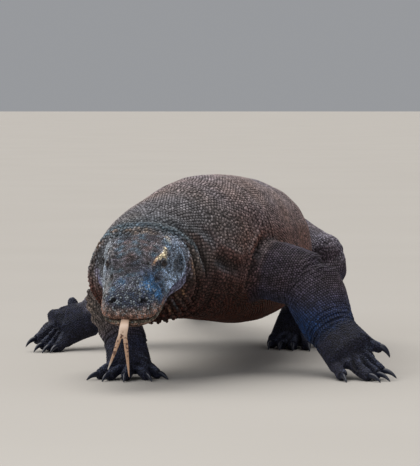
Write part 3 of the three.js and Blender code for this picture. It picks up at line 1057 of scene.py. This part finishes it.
# painted shade inside the nostrils and ears
PIT_SHADE = (0.008, 0.006, 0.008)
# painted shade in the grooves of the hide
GROOVE_SHADE = (0.022, 0.016, 0.015)


def toward(base, colour, amount):
    """Mixes a colour into others by an amount from 0 to 1."""
    return base + (np.array(colour) - base) * np.clip(amount, 0, 1)[:, None]


def painted(base, layers):
    """Lays colours over a base one after another, each by its own amount at every point."""
    for colour, amount in layers:
        base = toward(base, colour, amount)
    return base


print("back against belly:", round(sum(BACK) / sum(SHADED_BELLY), 1), "times as bright")

# %% [markdown]
# ## The colours of trunk and legs
#
# The back is paler where it faces up, and the belly darker where it faces down or lies low, in painted shade.
# The legs are slate blue below and brown above. Every rule is a colour and where it lies: on what faces up,
# so far behind the snout, or in a soft round patch. Later rules cover earlier ones. Painted shade darkens the
# chest and the clefts between the toes, and a painted highlight lies on the backs of the toes. Noise then
# warms, cools and dims the whole, as worn skin does.

# %% Colours of the body
CHEST_SHADE = place(-10, 30, 165)
SAND_BAND = [(-42, 231, 57), (-5, 238, 61), (26, 231, 58)]  # pale band across the nape


def torso_colours(points, up, p):
    """The colours of trunk, neck and tail. up is 1 where the skin faces up and -1 where it faces down."""
    x, y, z = p.T
    beside = smooth(40, 70, np.abs(x)) * (1 - smooth(-0.1, 0.5, up)) * smooth(-60, -10, z)
    rust = smooth(-0.1, 0.5, drift(points, 0.03, 5)) * np.exp(-(((y - 232) / 14) ** 2))
    low = 1 - smooth(100, 180, points[:, 2] / MM)
    layers = [
        (BACK, smooth(0.0, 0.8, up)),
        # painted shade where the skin faces down or lies low
        (SHADED_BELLY, smooth(0.15, 0.75, -up) + 0.5 * low * (up < 0.3)),
        (WITHERS, smooth(440, 330, y) * smooth(0.0, 0.5, up)),
        # painted shadow on the chest, under the neck
        (CHEST_SHADOW, 0.8 * hill(points, CHEST_SHADE, (0.1, 0.12, 0.07))),
        (NAPE, smooth(330, 245, y) * smooth(-0.1, 0.5, up)),
        (NECK_SIDE, 0.8 * smooth(330, 270, y) * beside),
        (RUST, 0.75 * rust * smooth(-0.3, 0.2, up)),
        (SAND, 0.7 * ridge(p, SAND_BAND, 7) * smooth(-0.3, 0.2, drift(points, 0.012, 7))),
    ]
    return painted(np.tile(FLANK, (len(points), 1)), layers)


def leg_colours(points, up):
    """The colours of the legs. The right arm is brown further down than the left."""
    right_arm = (points[:, 0] < -0.02) * (points[:, 1] < -0.7)
    layers = [
        (ARM, smooth(90, 175, points[:, 2] / MM + 60 * right_arm)),
        (THIGH, (points[:, 1] > -0.4) * smooth(0, 0.7, up)),
        (SLEEVE_TONE, hill(points, SLEEVE, 0.07)),
    ]
    return painted(np.tile(SHANK, (len(points), 1)), layers)


def body_colours(points, normals, p, share):
    """The colours of all but the head."""
    up = normals[:, 2]
    backs, clefts = toes(points, normals)
    layers = [
        (leg_colours(points, up), share["legs"] / (share["legs"] + share["torso"] + 1e-6)),
        (FOOT, share["feet"]),
        # painted highlight on the backs of the toes, and painted shade in the clefts between them
        (TOE_HIGHLIGHT, 0.8 * backs * share["feet"]),
        (CLEFT_SHADE, 0.9 * clefts * share["feet"]),
    ]
    warmth = 0.12 * drift(points, 0.055, 12)[:, None] * (1, 0.1, -1)
    uneven = 0.3 * drift(points, 0.011, 13) + 0.4 * share["legs"] * drift(points, 0.021, 15)
    return painted(torso_colours(points, up, p), layers) * (1 + warmth + uneven[:, None])


print("pale band across the nape:", SAND_BAND)

# %% [markdown]
# ## The colours of the head
#
# The head is grey-blue, brown on the crown and paler on the cheeks and sides, which is partly their own
# colour and partly painted light. There are blue patches on the sides of the snout and light lips, and
# painted shade round the eyes, between the eyes, beside the nape and in the nostrils and ears. Over the left
# eye runs a pale broken line, which is laid down from above, so that it follows every bead of the brow.

# %% Colours of the head
PALE_LINE = [(47, 178, 0), (51, 166, 0), (51, 150, 0), (45, 137, 0), (37, 125, 0)]
ORANGE_LINE = [(45, 152, 0), (40, 134, 0), (34, 120, 0), (33, 112, 0)]
LINE_BEHIND = [(44, 225, 58), (52, 205, 58), (54, 192, 54)]
BLUE_PATCHES = [
    (1.2, (34, 78, 34), (22, 30, 18)),
    (0.9, (50, 62, 14), (16, 30, 14)),
    (0.45, (-20, 70, 38), (16, 18, 14)),
]


def crown_and_cheeks(p, patch, fleck):
    x, y, z = p.T
    side = smooth(40, 64, np.abs(x) + 9 * patch + 5 * fleck) * smooth(90, 125, y)
    right = smooth(140, 100, y) * smooth(34, 48, -x)
    return [
        (TEAL, 0.6 * smooth(0.0, 0.45, patch)),
        (MAUVE, 0.55 * smooth(0.0, 0.45, -patch) * smooth(110, 140, y) * smooth(46, 30, np.abs(x))),
        # paler cheeks and sides of the head: partly their own colour, partly painted light
        (CHEEK_TONE_AND_LIGHT, 0.9 * side * (1 - 0.7 * smooth(30, 52, z))),
        (SIDE_TONE_AND_LIGHT, (0.6 * side + 0.45 * right) * (x < -30)),
        # painted shade between and over the eyes
        (DARK_FLECK_AND_SHADE, 0.9 * hill(p, (2, 112, 52), (26, 17, 30))),
        (SAND, 0.6 * ridge(p, SAND_BAND, 7) * smooth(-0.4, 0.2, fleck)),
        # painted shadow in the hollows beside the nape
        (DARK_FLECK_AND_SHADE, 0.95 * mirrored(hill, p, (25, 214, 60), (16, 20, 16))),
    ]


def snout_and_lips(p):
    y, z = p[:, 1], p[:, 2]
    off = z - mouth_height(y)
    under = (1 - smooth(-3, 1, off)) * (1 - smooth(70, 110, y))
    return [
        (BLUE, sum(amount * hill(p, at, size) for amount, at, size in BLUE_PATCHES)),
        (SNOUT_DARK, 0.85 * (1 - smooth(38, 62, y)) * smooth(8, 16, off)),
        (MUZZLE, 0.8 * (1 - smooth(15, 27, off)) * (1 - smooth(30, 55, y))),
        (LIP, (1 - smooth(8, 13, off)) * (1 - smooth(60, 100, y))),
        (JOWL, (1 - smooth(-4, 6, off)) * smooth(60, 95, y)),
        (PALE_LIP, under * smooth(-9, -4, off)),
        (THROAT, under * (1 - smooth(-11, -6, off))),
    ]


def lids_and_brows(p, fleck):
    y, z = p[:, 1], p[:, 2]
    broken = smooth(-0.5, 0.1, fleck)
    from_above, from_right = p * LEVEL, p * (-1, 1, 1)
    return [
        # painted shade round each eye, in its socket
        (EYE_SOCKET_SHADE, 0.9 * mirrored(hill, p, EYE, 15)),
        (LID_RIM, 0.75 * lid_rims(p)),
        (ORANGE, 0.8 * ridge(from_above, ORANGE_LINE, 2.8, 0.3) * broken),
        (CREAM, 1.05 * ridge(from_above, PALE_LINE, 2.4, 0.1) * (z > 30) * (0.6 + 0.4 * broken)),
        (CREAM, 0.35 * ridge(from_right, BROW[:4], 3.6, 0.1) * broken),
        (CREAM, 0.4 * ridge(p, LINE_BEHIND, 4) * broken),
        # dark flecks, the skin's own colour
        (DARK_FLECK_AND_SHADE, 0.5 * smooth(0.25, 0.6, fleck) * (y > 60)),
    ]


def head_colours(p):
    """The colours of the head, at places in its own frame."""
    patch, fleck = drift(p, 17.0, 8), drift(p, 6.0, 9)
    layers = crown_and_cheeks(p, patch, fleck) + snout_and_lips(p) + lids_and_brows(p, fleck)
    out = painted(np.tile(CROWN, (len(p), 1)), layers)
    out = out * np.clip(1 + 1.3 * fleck + 0.5 * patch, 0.25, 2)[:, None]
    # painted shade inside the nostrils and the ears
    return toward(out, PIT_SHADE, 1.6 * mirrored(hill, p, NOSTRIL, 6.5) + mirrored(hill, p, EAR, 7))


print("colours of the head begin with", CROWN)

# %% [markdown]
# ## Colours on the mesh
#
# A painted texture would need a seam somewhere. An attribute keeps a colour at each point of the mesh, which
# is fine enough here, since the scales over it have one colour each.

# %% Colours on the mesh
def hide_colours(points, normals, share):
    """The colours of places on the hide, with painted shade in the grooves and a painted highlight on the
    ridges.
    """
    p = in_head(points)
    out = toward(body_colours(points, normals, p, share), head_colours(p), share["head"])
    relief = body_relief(points, p, share) + face_relief(p) * share["head"]
    # painted shade in the grooves, then a painted highlight on the ridges
    out = toward(out, GROOVE_SHADE, 0.8 * smooth(-0.8, -4.5, relief))
    return out * (1 + 0.5 * smooth(0.8, 5.0, relief))[:, None]


def store(mesh, name, kind, values):
    """Keeps one value for each point of a mesh, as an attribute that materials can read."""
    attribute = mesh.attributes.new(name, kind, "POINT")
    field = "color" if kind == "FLOAT_COLOR" else "value"
    if kind == "FLOAT_COLOR":
        values = np.column_stack([values, np.ones(len(values))])
    attribute.data.foreach_set(field, values.astype(np.float32).ravel())


p = in_head(skin_points)
skin_colours = hide_colours(skin_points, skin_normals, share)
by_mouth = (np.abs(p[:, 2] - mouth_height(p[:, 1])) < 4) & (p[:, 1] < 152) & (share["head"] > 0.9)
in_mouth = by_mouth & (face_height < -3.5)
skin_colours = np.where(in_mouth[:, None], GULLET, skin_colours)
store(skin.data, "hide", "FLOAT_COLOR", skin_colours)
print("mean colour of the hide:", skin_colours.mean(0).round(3))

# %% [markdown]
# ## Building the coat
#
# One bead is modelled: a small hexagon, drawn up into a dome. The coat is that bead repeated at every
# place, turned to lie along the body and sunk a little into the skin. The copies are worked out together as
# arrays and become one solid mesh for each part of the body.

# %% One bead
def bead_shape(sides=6, shoulder=0.58, sunk=-0.35):
    """The points and faces of a dome of radius 1 and height 1."""
    bm = bmesh.new()
    bmesh.ops.create_circle(bm, cap_ends=True, radius=1, segments=sides)
    made = bmesh.ops.extrude_face_region(bm, geom=bm.faces[:], use_keep_orig=True)
    top = [v for v in made["geom"] if isinstance(v, bmesh.types.BMVert)]
    bottom = [v for v in bm.verts if v not in top]
    bmesh.ops.scale(bm, vec=(shoulder, shoulder, 1), verts=top)
    bmesh.ops.translate(bm, vec=(0, 0, 1), verts=top)
    bmesh.ops.translate(bm, vec=(0, 0, sunk), verts=bottom)
    bmesh.ops.recalc_face_normals(bm, faces=bm.faces[:])
    points = np.array([v.co for v in bm.verts])
    faces = [[v.index for v in f.verts] for f in bm.faces]
    bm.free()
    return points, faces


BEAD_POINTS, BEAD_FACES = bead_shape()
print("one bead:", len(BEAD_POINTS), "points,", len(BEAD_FACES), "faces")

# %% [markdown]
# ## Many beads
#
# Fifty thousand objects, or as many calls of an operator, would be slow. The points of all the copies are
# instead the bead's points times the size of each scale along its three ways, in one sum of arrays.
# An OFBake map gives each scale its own small patch, laid out as on the unwrapped skin.

# %% Many beads
PATCH = 0.003  # how wide a scale is on the unwrapped skin
LENGTHWISE, SIDEWAYS = 1.08, 0.95  # a scale is a little longer than it is wide
FLOOR_GAP = 0.2 * MM


def filled(name, points, loops, starts):
    """A smooth mesh from arrays: its points, the corners of its faces and where each face's corners begin."""
    mesh = bpy.data.meshes.new(name)
    mesh.vertices.add(len(points))
    mesh.vertices.foreach_set("co", points.astype(np.float32).ravel())
    mesh.loops.add(len(loops))
    mesh.loops.foreach_set("vertex_index", loops)
    mesh.polygons.add(len(starts))
    mesh.polygons.foreach_set("loop_start", starts)
    mesh.update()
    mesh.validate()
    mesh.shade_smooth()
    return mesh


def coat(name, b):
    """One mesh of a bead at every place."""
    count, each = len(b["at"]), len(BEAD_POINTS)
    x, y, z = BEAD_POINTS.T
    ways = (
        (x, b["size"] * LENGTHWISE, b["lie"]),
        (y, b["size"] * SIDEWAYS, np.cross(b["normal"], b["lie"])),
        (z, b["tall"], b["normal"]),
    )
    shape = b["at"][:, None]
    for part, length, way in ways:
        shape = shape + length[:, None, None] * part[:, None] * way[:, None]
    shape[:, :, 2] = np.maximum(shape[:, :, 2], FLOOR_GAP)
    sizes = np.array([len(f) for f in BEAD_FACES])
    corners = np.concatenate(BEAD_FACES)
    loops = (np.arange(count)[:, None] * each + corners).ravel()
    starts = np.concatenate([[0], np.cumsum(np.tile(sizes, count))[:-1]])
    mesh = filled(name, shape.reshape(-1, 3), loops, starts)
    low, high = b["unwrapped"].min(0), b["unwrapped"].max(0)
    root = PATCH + (1 - 2 * PATCH) * (b["unwrapped"] - low) / (high - low)
    uv = root[:, None] + PATCH / 2 * BEAD_POINTS[:, :2]
    layer = mesh.uv_layers.new(name="OFBake")
    layer.data.foreach_set("uv", uv.reshape(-1, 2)[loops].astype(np.float32).ravel())
    store(mesh, "hide", "FLOAT_COLOR", np.repeat(b["colour"], each, 0))
    store(mesh, "grain", "FLOAT", np.repeat(b["grain"], each))
    store(mesh, "crown", "FLOAT", np.tile((z > 0.5).astype(float), count))
    return link(f"scales_{name}", mesh)


# %% The coat
WHITE_BEAD = (0.38, 0.43, 0.47)

coats = []
for name, b in beads.items():
    b["grain"] = rng.random(len(b["at"]))
    b["colour"] = hide_colours(b["at"], b["normal"], shares(b["at"]))
    if name.startswith("head"):
        p = in_head(b["at"])
        snout = (1 - smooth(60, 95, p[:, 1])) * smooth(4, 12, p[:, 2] - mouth_height(p[:, 1]))
        b["colour"] = toward(b["colour"], WHITE_BEAD, 0.6 * (b["grain"] < 0.2 * snout + 0.07))
    coats.append(coat(name, b))
print("coat triangles:", sum(len(triangles_of(c.data)) for c in coats))

# %% [markdown]
# ## Eyes
#
# These are smooth and wet, so each gets a finer ball in place of the facets of the frame. The pupil and the
# iris are rings round the way that the eye looks, so the ball keeps the angle from there at each point.

# %% Eyes
def finished(name, bm):
    """Puts a bmesh into a new smooth object."""
    obj = poured(name, bm)
    obj.data.shade_smooth()
    return obj


def eyeball(name, side):
    """A ball that keeps, at each point, the angle from the pupil's middle as a share of a right angle."""
    eye, look, *_ = eye_frame(side)
    centre = HEAD_ORIGIN + HEAD_AXES @ eye * MM
    look = HEAD_AXES @ look
    bm = bmesh.new()
    bmesh.ops.create_uvsphere(bm, u_segments=40, v_segments=24, radius=BALL * MM)
    turn = Vector((0, 0, 1)).rotation_difference(Vector(look)).to_matrix()
    bmesh.ops.rotate(bm, verts=bm.verts, matrix=turn)
    bmesh.ops.translate(bm, verts=bm.verts, vec=centre)
    obj = finished(name, bm)
    facing = unit(points_of(obj.data) - centre) @ look
    store(obj.data, "ring", "FLOAT", np.arccos(np.clip(facing, -1, 1)) / (math.pi / 2))
    return obj


eyes = {f"eye_{name}": eyeball(f"glossy_eye_{name}", side) for name, side in (("left", 1), ("right", -1))}
print("eyes:", list(eyes))

# %% [markdown]
# ## Claws
#
# A claw is a hooked cone of polished horn. The plain claw of the frame tells where it goes: a curve is fitted
# to its points, and a tube is drawn along that curve and narrowed to a blunt tip.

# %% Tubes
def tube(bm, place_at, sides=16, cuts=15):
    """A closed tube whose points are put in place by a function of their share of the length and spot."""
    one = bmesh.new()
    bmesh.ops.create_cone(one, cap_ends=True, segments=sides, radius1=1, radius2=1, depth=1)
    long_edges = [e for e in one.edges if abs(e.verts[0].co.z - e.verts[1].co.z) > 0.5]
    bmesh.ops.subdivide_edges(one, edges=long_edges, cuts=cuts)
    for v in one.verts:
        v.co = Vector(place_at(v.co.z + 0.5, v.co.x, v.co.y))
    bmesh.ops.recalc_face_normals(one, faces=one.faces[:])
    mesh = bpy.data.meshes.new("tube")
    one.to_mesh(mesh)
    one.free()
    bm.from_mesh(mesh)


# %% Claws
CLAW_ROOT = 0.2  # how much longer a claw is inside the toe, as a share of its length
TIP_RADIUS = 0.2 * MM


def horn(name, node, foot):
    """A hooked cone along the middle of a plain claw."""
    points = np.unique(points_of(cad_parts[node].data).round(6), axis=0)
    away = np.linalg.norm(points - np.array(middle(foot)), axis=1)
    tip, base = points[away.argmax()], points[away.argsort()[: len(points) // 4]].mean(0)
    axis = unit(tip - base)
    along = (points - base) @ axis / np.linalg.norm(tip - base)
    curve = [np.polyfit(along, points[:, k], 2) for k in range(3)]
    far = np.linalg.norm(points - np.stack([np.polyval(c, along) for c in curve], 1), axis=1)
    girth = np.percentile(far[along < 0.5], 80)
    side = unit(np.cross(axis, UP))
    high = np.cross(side, axis)

    def place_at(share, x, y):
        t = share * (1 + CLAW_ROOT) - CLAW_ROOT
        radius = girth * max(1 - max(t, 0), 0) ** 0.62 + TIP_RADIUS
        centre = np.array([np.polyval(c, t) for c in curve])
        spot = centre + radius * (0.84 * x * side + y * high)
        return (*spot[:2], max(spot[2], FLOOR_GAP))

    bm = bmesh.new()
    tube(bm, place_at)
    return finished(name, bm)


claws = {}
for limb in LIMBS:
    for number in range(1, 6):
        node = f"{limb}_claw_{number}"
        claws[node] = horn(f"horn_{node}", node, f"{limb}_foot")
print("claws:", len(claws))

# %% [markdown]
# ## Tongue
#
# The tongue is a flat ribbon that hangs from the lips and splits into two tines, which thin out to the tips.
# Ribbons that only touch would show a crack at the fork, so the three are remeshed into one piece.

# %% Paths of the tongue
LIP_LINE = HEAD_ORIGIN + HEAD_AXES @ (np.array([-5, 2, -0.3]) * MM)
IN_MOUTH = HEAD_ORIGIN + HEAD_AXES @ (np.array([-5, 20, 0]) * MM)
FORK = np.array(place(-155, -262, 104))
STEM = [IN_MOUTH, LIP_LINE, place(-152, -250, 121), FORK, FORK - (0, 0, 0.006)]
STEM_END = 0.6 * FORK + 0.4 * np.array(STEM[2])
LEFT_TINE = [STEM_END + (0.002, 0, 0), FORK + (0.0045, -0.001, -0.003)]
LEFT_TINE += route((-147, -269, 70), (-143, -272, 30))
RIGHT_TINE = [STEM_END - (0.002, 0, 0), FORK + (-0.005, -0.001, -0.003)]
RIGHT_TINE += route((-168, -268, 76), (-181, -270, 43))

# Half widths and half thicknesses in millimetres, evenly spaced along the stem and along a tine.
STEM_WIDE, STEM_THICK = (7.2, 7.4, 7.8, 8.4, 8.2), (1.9, 1.9, 1.8, 1.8, 1.6)
TINE_WIDE, TINE_THICK = (3.6, 4.2, 3.3, 2.4, 0.8), (1.5, 1.7, 1.6, 1.3, 0.7)
print("fork of the tongue at", FORK.round(3))


# %% Ribbons
def rounded(path, rounds=3):
    """Cuts the corners of a path a few times."""
    path = np.array(path)
    for _ in range(rounds):
        a, b = path[:-1], path[1:]
        cut = np.stack([0.75 * a + 0.25 * b, 0.25 * a + 0.75 * b], 1).reshape(-1, 3)
        path = np.concatenate([path[:1], cut, path[-1:]])
    return path


def ribbon(bm, path, wide, thick):
    """A flat band along a path, with half widths and half thicknesses in millimetres at a few places."""
    path = rounded(path)
    steps = np.concatenate([[0], np.cumsum(np.linalg.norm(np.diff(path, axis=0), axis=1))])
    ways = unit(np.gradient(path, axis=0))
    side = HEAD_AXES[:, 0]

    def place_at(share, x, y):
        mark = share * steps[-1]
        centre = np.array([np.interp(mark, steps, path[:, k]) for k in range(3)])
        way = unit(np.array([np.interp(mark, steps, ways[:, k]) for k in range(3)]))
        out = unit(np.cross(side, way))
        half_wide, half_thick = (np.interp(share, np.linspace(0, 1, len(v)), v) * MM for v in (wide, thick))
        return centre + x * half_wide * np.cross(way, out) + y * half_thick * out

    tube(bm, place_at, 20, 24)


bm = bmesh.new()
ribbon(bm, STEM, STEM_WIDE, STEM_THICK)
ribbon(bm, LEFT_TINE, TINE_WIDE, TINE_THICK)
ribbon(bm, RIGHT_TINE, TINE_WIDE, TINE_THICK)
tongue = finished("forked_tongue", bm)
even_mesh(tongue, 0.6 * MM)
smoothing(tongue, 5)
thin = tongue.modifiers.new("thin", "DECIMATE")
thin.ratio = 0.35
keep(tongue)
tongue.data.shade_smooth()
print("tongue:", len(triangles_of(tongue.data)), "triangles")

# %% Colours of the tongue
PEACH, TAN, MILK = (0.62, 0.44, 0.32), (0.5, 0.28, 0.16), (0.66, 0.6, 0.53)

x, y, z = ((points_of(tongue.data) - FORK) / MM).T
tined = smooth(4, -14, z)
pale_tip = smooth(-40, -60, z) * smooth(-8, -14, x)
colours = painted(np.tile(PEACH, (len(z), 1)), [(TAN, 0.75 * tined), (MILK, pale_tip)])
store(tongue.data, "hide", "FLOAT_COLOR", colours)
store(tongue.data, "specks", "FLOAT", smooth(10, -2, z) * smooth(-60, -25, z))
print("points on the tines:", int((tined > 0.5).sum()))

# %% [markdown]
# ## Materials by expression
#
# A material is a net of nodes. Two small classes let it be written as sums: a wire is a socket that can be
# added and multiplied, and a paint holds the net and adds any other node.

# %% Wires
class Wire:
    """A socket. Sums and products of wires add Math nodes."""

    def __init__(self, paint, socket):
        self.paint, self.socket = paint, socket

    def math(self, operation, a, b):
        return self.paint.node("ShaderNodeMath", {"operation": operation}, {0: a, 1: b})

    def __add__(self, other):
        return self.math("ADD", self, other)

    def __sub__(self, other):
        return self.math("SUBTRACT", self, other)

    def __rsub__(self, other):
        return self.math("SUBTRACT", other, self)

    def __mul__(self, other):
        return self.math("MULTIPLY", self, other)

    __radd__, __rmul__ = __add__, __mul__


print("signs that a wire knows: + - *")


# %% Paints
class Paint:
    """A material and its nodes."""

    def __init__(self, name, constants):
        self.material = bpy.data.materials.new(name)
        self.material.use_nodes = True
        self.tree = self.material.node_tree
        self.surface = self.tree.nodes["Principled BSDF"]
        for socket, value in constants.items():
            self.surface.inputs[socket].default_value = value

    def plug(self, socket, value):
        if isinstance(value, Wire):
            self.tree.links.new(value.socket, socket)
        else:
            socket.default_value = value

    def node(self, kind, settings=None, inputs=None, out=0):
        """Adds a node: its settings first, then the values or wires of its sockets."""
        made = self.tree.nodes.new(kind)
        for key, value in (settings or {}).items():
            setattr(made, key, value)
        for key, value in (inputs or {}).items():
            self.plug(made.inputs[key], value)
        return Wire(self, made.outputs[out])

    def attribute(self, name, out="Fac"):
        return self.node("ShaderNodeAttribute", {"attribute_name": name}, out=out)

    def noise(self, scale, detail=2.0, rough=0.5):
        place = self.node("ShaderNodeTexCoord", out="Object")
        inputs = {"Vector": place, "Scale": scale, "Detail": detail, "Roughness": rough}
        return self.node("ShaderNodeTexNoise", inputs=inputs)

    def mix(self, amount, a, b, blend="MIX"):
        """Mixes two colours."""
        settings = {"data_type": "RGBA", "blend_type": blend}
        return self.node("ShaderNodeMix", settings, {0: amount, 6: a, 7: b}, 2)

    def step(self, value, low, high):
        """0 below low, 1 above high, and a soft step between."""
        inputs = {"Value": value, "From Min": low, "From Max": high}
        return self.node("ShaderNodeMapRange", {"interpolation_type": "SMOOTHSTEP"}, inputs)

    def bump(self, height, strength, distance):
        inputs = {"Height": height, "Strength": strength, "Distance": distance}
        return self.node("ShaderNodeBump", inputs=inputs)

    def finish(self, links):
        """Plugs wires into the surface shader and gives the material."""
        for socket, value in links.items():
            self.plug(self.surface.inputs[socket], value)
        return self.material


print("ready to mix paints")

# %% [markdown]
# ## The hide
#
# The skin between the scales is darker than they are, because dirt and shade gather there. Each scale differs
# a little from its neighbours, and is paler on its worn, dusty top.

# %% Hide
DUST = (0.34, 0.29, 0.24, 1)


def hide_paint(name, scaled):
    paint = Paint(name, {"Specular IOR Level": 0.25})
    base = paint.attribute("hide", "Color")
    mottle = paint.noise(26.0, 4.0, 0.6)
    blotch = paint.step(paint.noise(190.0, 3.0, 0.6), 0.36, 0.64)
    fine = paint.noise(420.0, 3.0, 0.6)
    shade = (0.6 + 0.8 * mottle) * (0.5 + 1.0 * blotch)
    if scaled:
        crown = paint.attribute("crown")
        foot = 1 - crown
        shade = shade * (0.62 + 0.76 * paint.attribute("grain")) * (1.25 - 0.75 * foot)
        dust = crown * (mottle * 0.06)
    else:
        shade = shade * 0.45
        dust = mottle * 0.02
    grey = paint.node("ShaderNodeCombineColor", inputs={0: shade, 1: shade, 2: shade})
    colour = paint.mix(1.0, base, grey, "MULTIPLY")
    colour = paint.mix(dust, colour, DUST)
    rough = 0.5 + 0.3 * fine
    bump = paint.bump(fine, 0.35, 0.0006)
    return paint.finish({"Base Color": colour, "Roughness": rough, "Normal": bump})


skin.data.materials.append(hide_paint("hide", False))
scaled_hide = hide_paint("scaled_hide", True)
for piece in coats:
    piece.data.materials.append(scaled_hide)
print("materials:", [m.name for m in bpy.data.materials][-2:])

# %% [markdown]
# ## Paints for the finer pieces
#
# A wet eye is nearly black with a clear coat over it. Claws are dark horn with a fine mottle. The tongue is
# moist, and the dark specks near its fork come from noise where the attribute allows them.

# %% Eyes, claws and tongue: their paints
wet_finish = {"Roughness": 0.12, "Specular IOR Level": 0.25, "Coat Weight": 0.35, "Coat Roughness": 0.03}
wet = Paint("wet_eye", wet_finish)
ring = wet.attribute("ring")
iris = wet.mix(wet.noise(900.0), (0.008, 0.007, 0.01, 1), (0.035, 0.02, 0.014, 1))
colour = wet.mix(wet.step(ring, 0.2, 0.25), (0.002, 0.002, 0.003, 1), iris)
colour = wet.mix(wet.step(ring, 0.44, 0.54), colour, (0.012, 0.011, 0.014, 1))
wet_eye = wet.finish({"Base Color": colour})

polished = Paint("black_horn", {"Specular IOR Level": 0.3, "Coat Weight": 0.2, "Coat Roughness": 0.2})
mottle = polished.noise(150.0, 3.0)
colour = polished.mix(mottle, (0.006, 0.008, 0.018, 1), (0.02, 0.024, 0.045, 1))
bump = polished.bump(mottle, 0.3, 0.0005)
black_horn = polished.finish({"Base Color": colour, "Roughness": 0.25 + 0.2 * mottle, "Normal": bump})

moist = Paint("moist_tongue", {"Coat Weight": 0.3, "Coat Roughness": 0.2})
spots = moist.step(moist.noise(230.0), 0.52, 0.6) * moist.attribute("specks")
colour = moist.mix(spots, moist.attribute("hide", "Color"), (0.13, 0.055, 0.03, 1))
fine = moist.noise(800.0)
bump = moist.bump(fine, 0.2, 0.0003)
moist_tongue = moist.finish({"Base Color": colour, "Roughness": 0.4 + 0.2 * fine, "Normal": bump})

for piece in eyes.values():
    piece.data.materials.append(wet_eye)
for piece in claws.values():
    piece.data.materials.append(black_horn)
tongue.data.materials.append(moist_tongue)
print("materials:", [wet_eye.name, black_horn.name, moist_tongue.name])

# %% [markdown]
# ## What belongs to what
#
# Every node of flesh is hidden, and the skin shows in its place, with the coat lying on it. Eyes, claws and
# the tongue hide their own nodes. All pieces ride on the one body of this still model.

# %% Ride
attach(skin, "root")
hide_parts(*FLESH)
for piece in coats:
    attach(piece, "root")
    part = piece.name.removeprefix("scales_")
for finer, slot in ((eyes, "eye"), (claws, "claw"), ({"tongue": tongue}, "tongue")):
    for node, piece in finer.items():
        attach(piece, "root")
        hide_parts(node)
print("pieces:", 1 + len(coats) + len(eyes) + len(claws) + 1)

# %% [markdown]
# ## Floor and light
#
# The floor is plain and pale. The sky is a sun lamp with a very wide disc, above and behind the animal, which
# keeps its shadows soft. A weak disc lamp stands in front, and the pale world fills in the rest.

# %% Stage
bm = bmesh.new()
bmesh.ops.create_circle(bm, cap_ends=True, radius=60, segments=64)
floor = poured("floor", bm)
plain = Paint("plain_floor", {"Roughness": 0.9, "Specular IOR Level": 0.1})
tint = plain.mix(plain.noise(1.3), (0.5, 0.47, 0.43, 1), (0.54, 0.51, 0.47, 1))
floor.data.materials.append(plain.finish({"Base Color": tint}))


def lamp(light, at, aim, power, colour):
    """Puts a light at a place, aims it and hides it from the camera."""
    light.energy, light.color = power, colour
    obj = bpy.data.objects.new(light.name, light)
    bpy.context.scene.collection.objects.link(obj)
    obj.location = at
    obj.rotation_euler = (Vector(aim) - Vector(at)).to_track_quat("-Z", "Y").to_euler()
    obj.visible_camera = False


sky = bpy.data.lights.new("sky", "SUN")
sky.angle = 1.3
lamp(sky, (-1.2, 1.4, 4), (0, 0, 0), 2.6, (1.0, 0.98, 0.95))
front = bpy.data.lights.new("front", "AREA")
front.shape, front.size = "DISK", 2.2
lamp(front, (-2.4, -4.4, 2.2), (0, -0.8, 0.2), 38, (0.9, 0.95, 1.0))

world = bpy.data.worlds.new("room")
bpy.context.scene.world = world
world.use_nodes = True
background = world.node_tree.nodes["Background"]
background.inputs["Color"].default_value = (0.78, 0.8, 0.84, 1)
background.inputs["Strength"].default_value = 0.4
bpy.context.scene.view_settings.view_transform = "Standard"
print("lights:", len(bpy.data.lights))
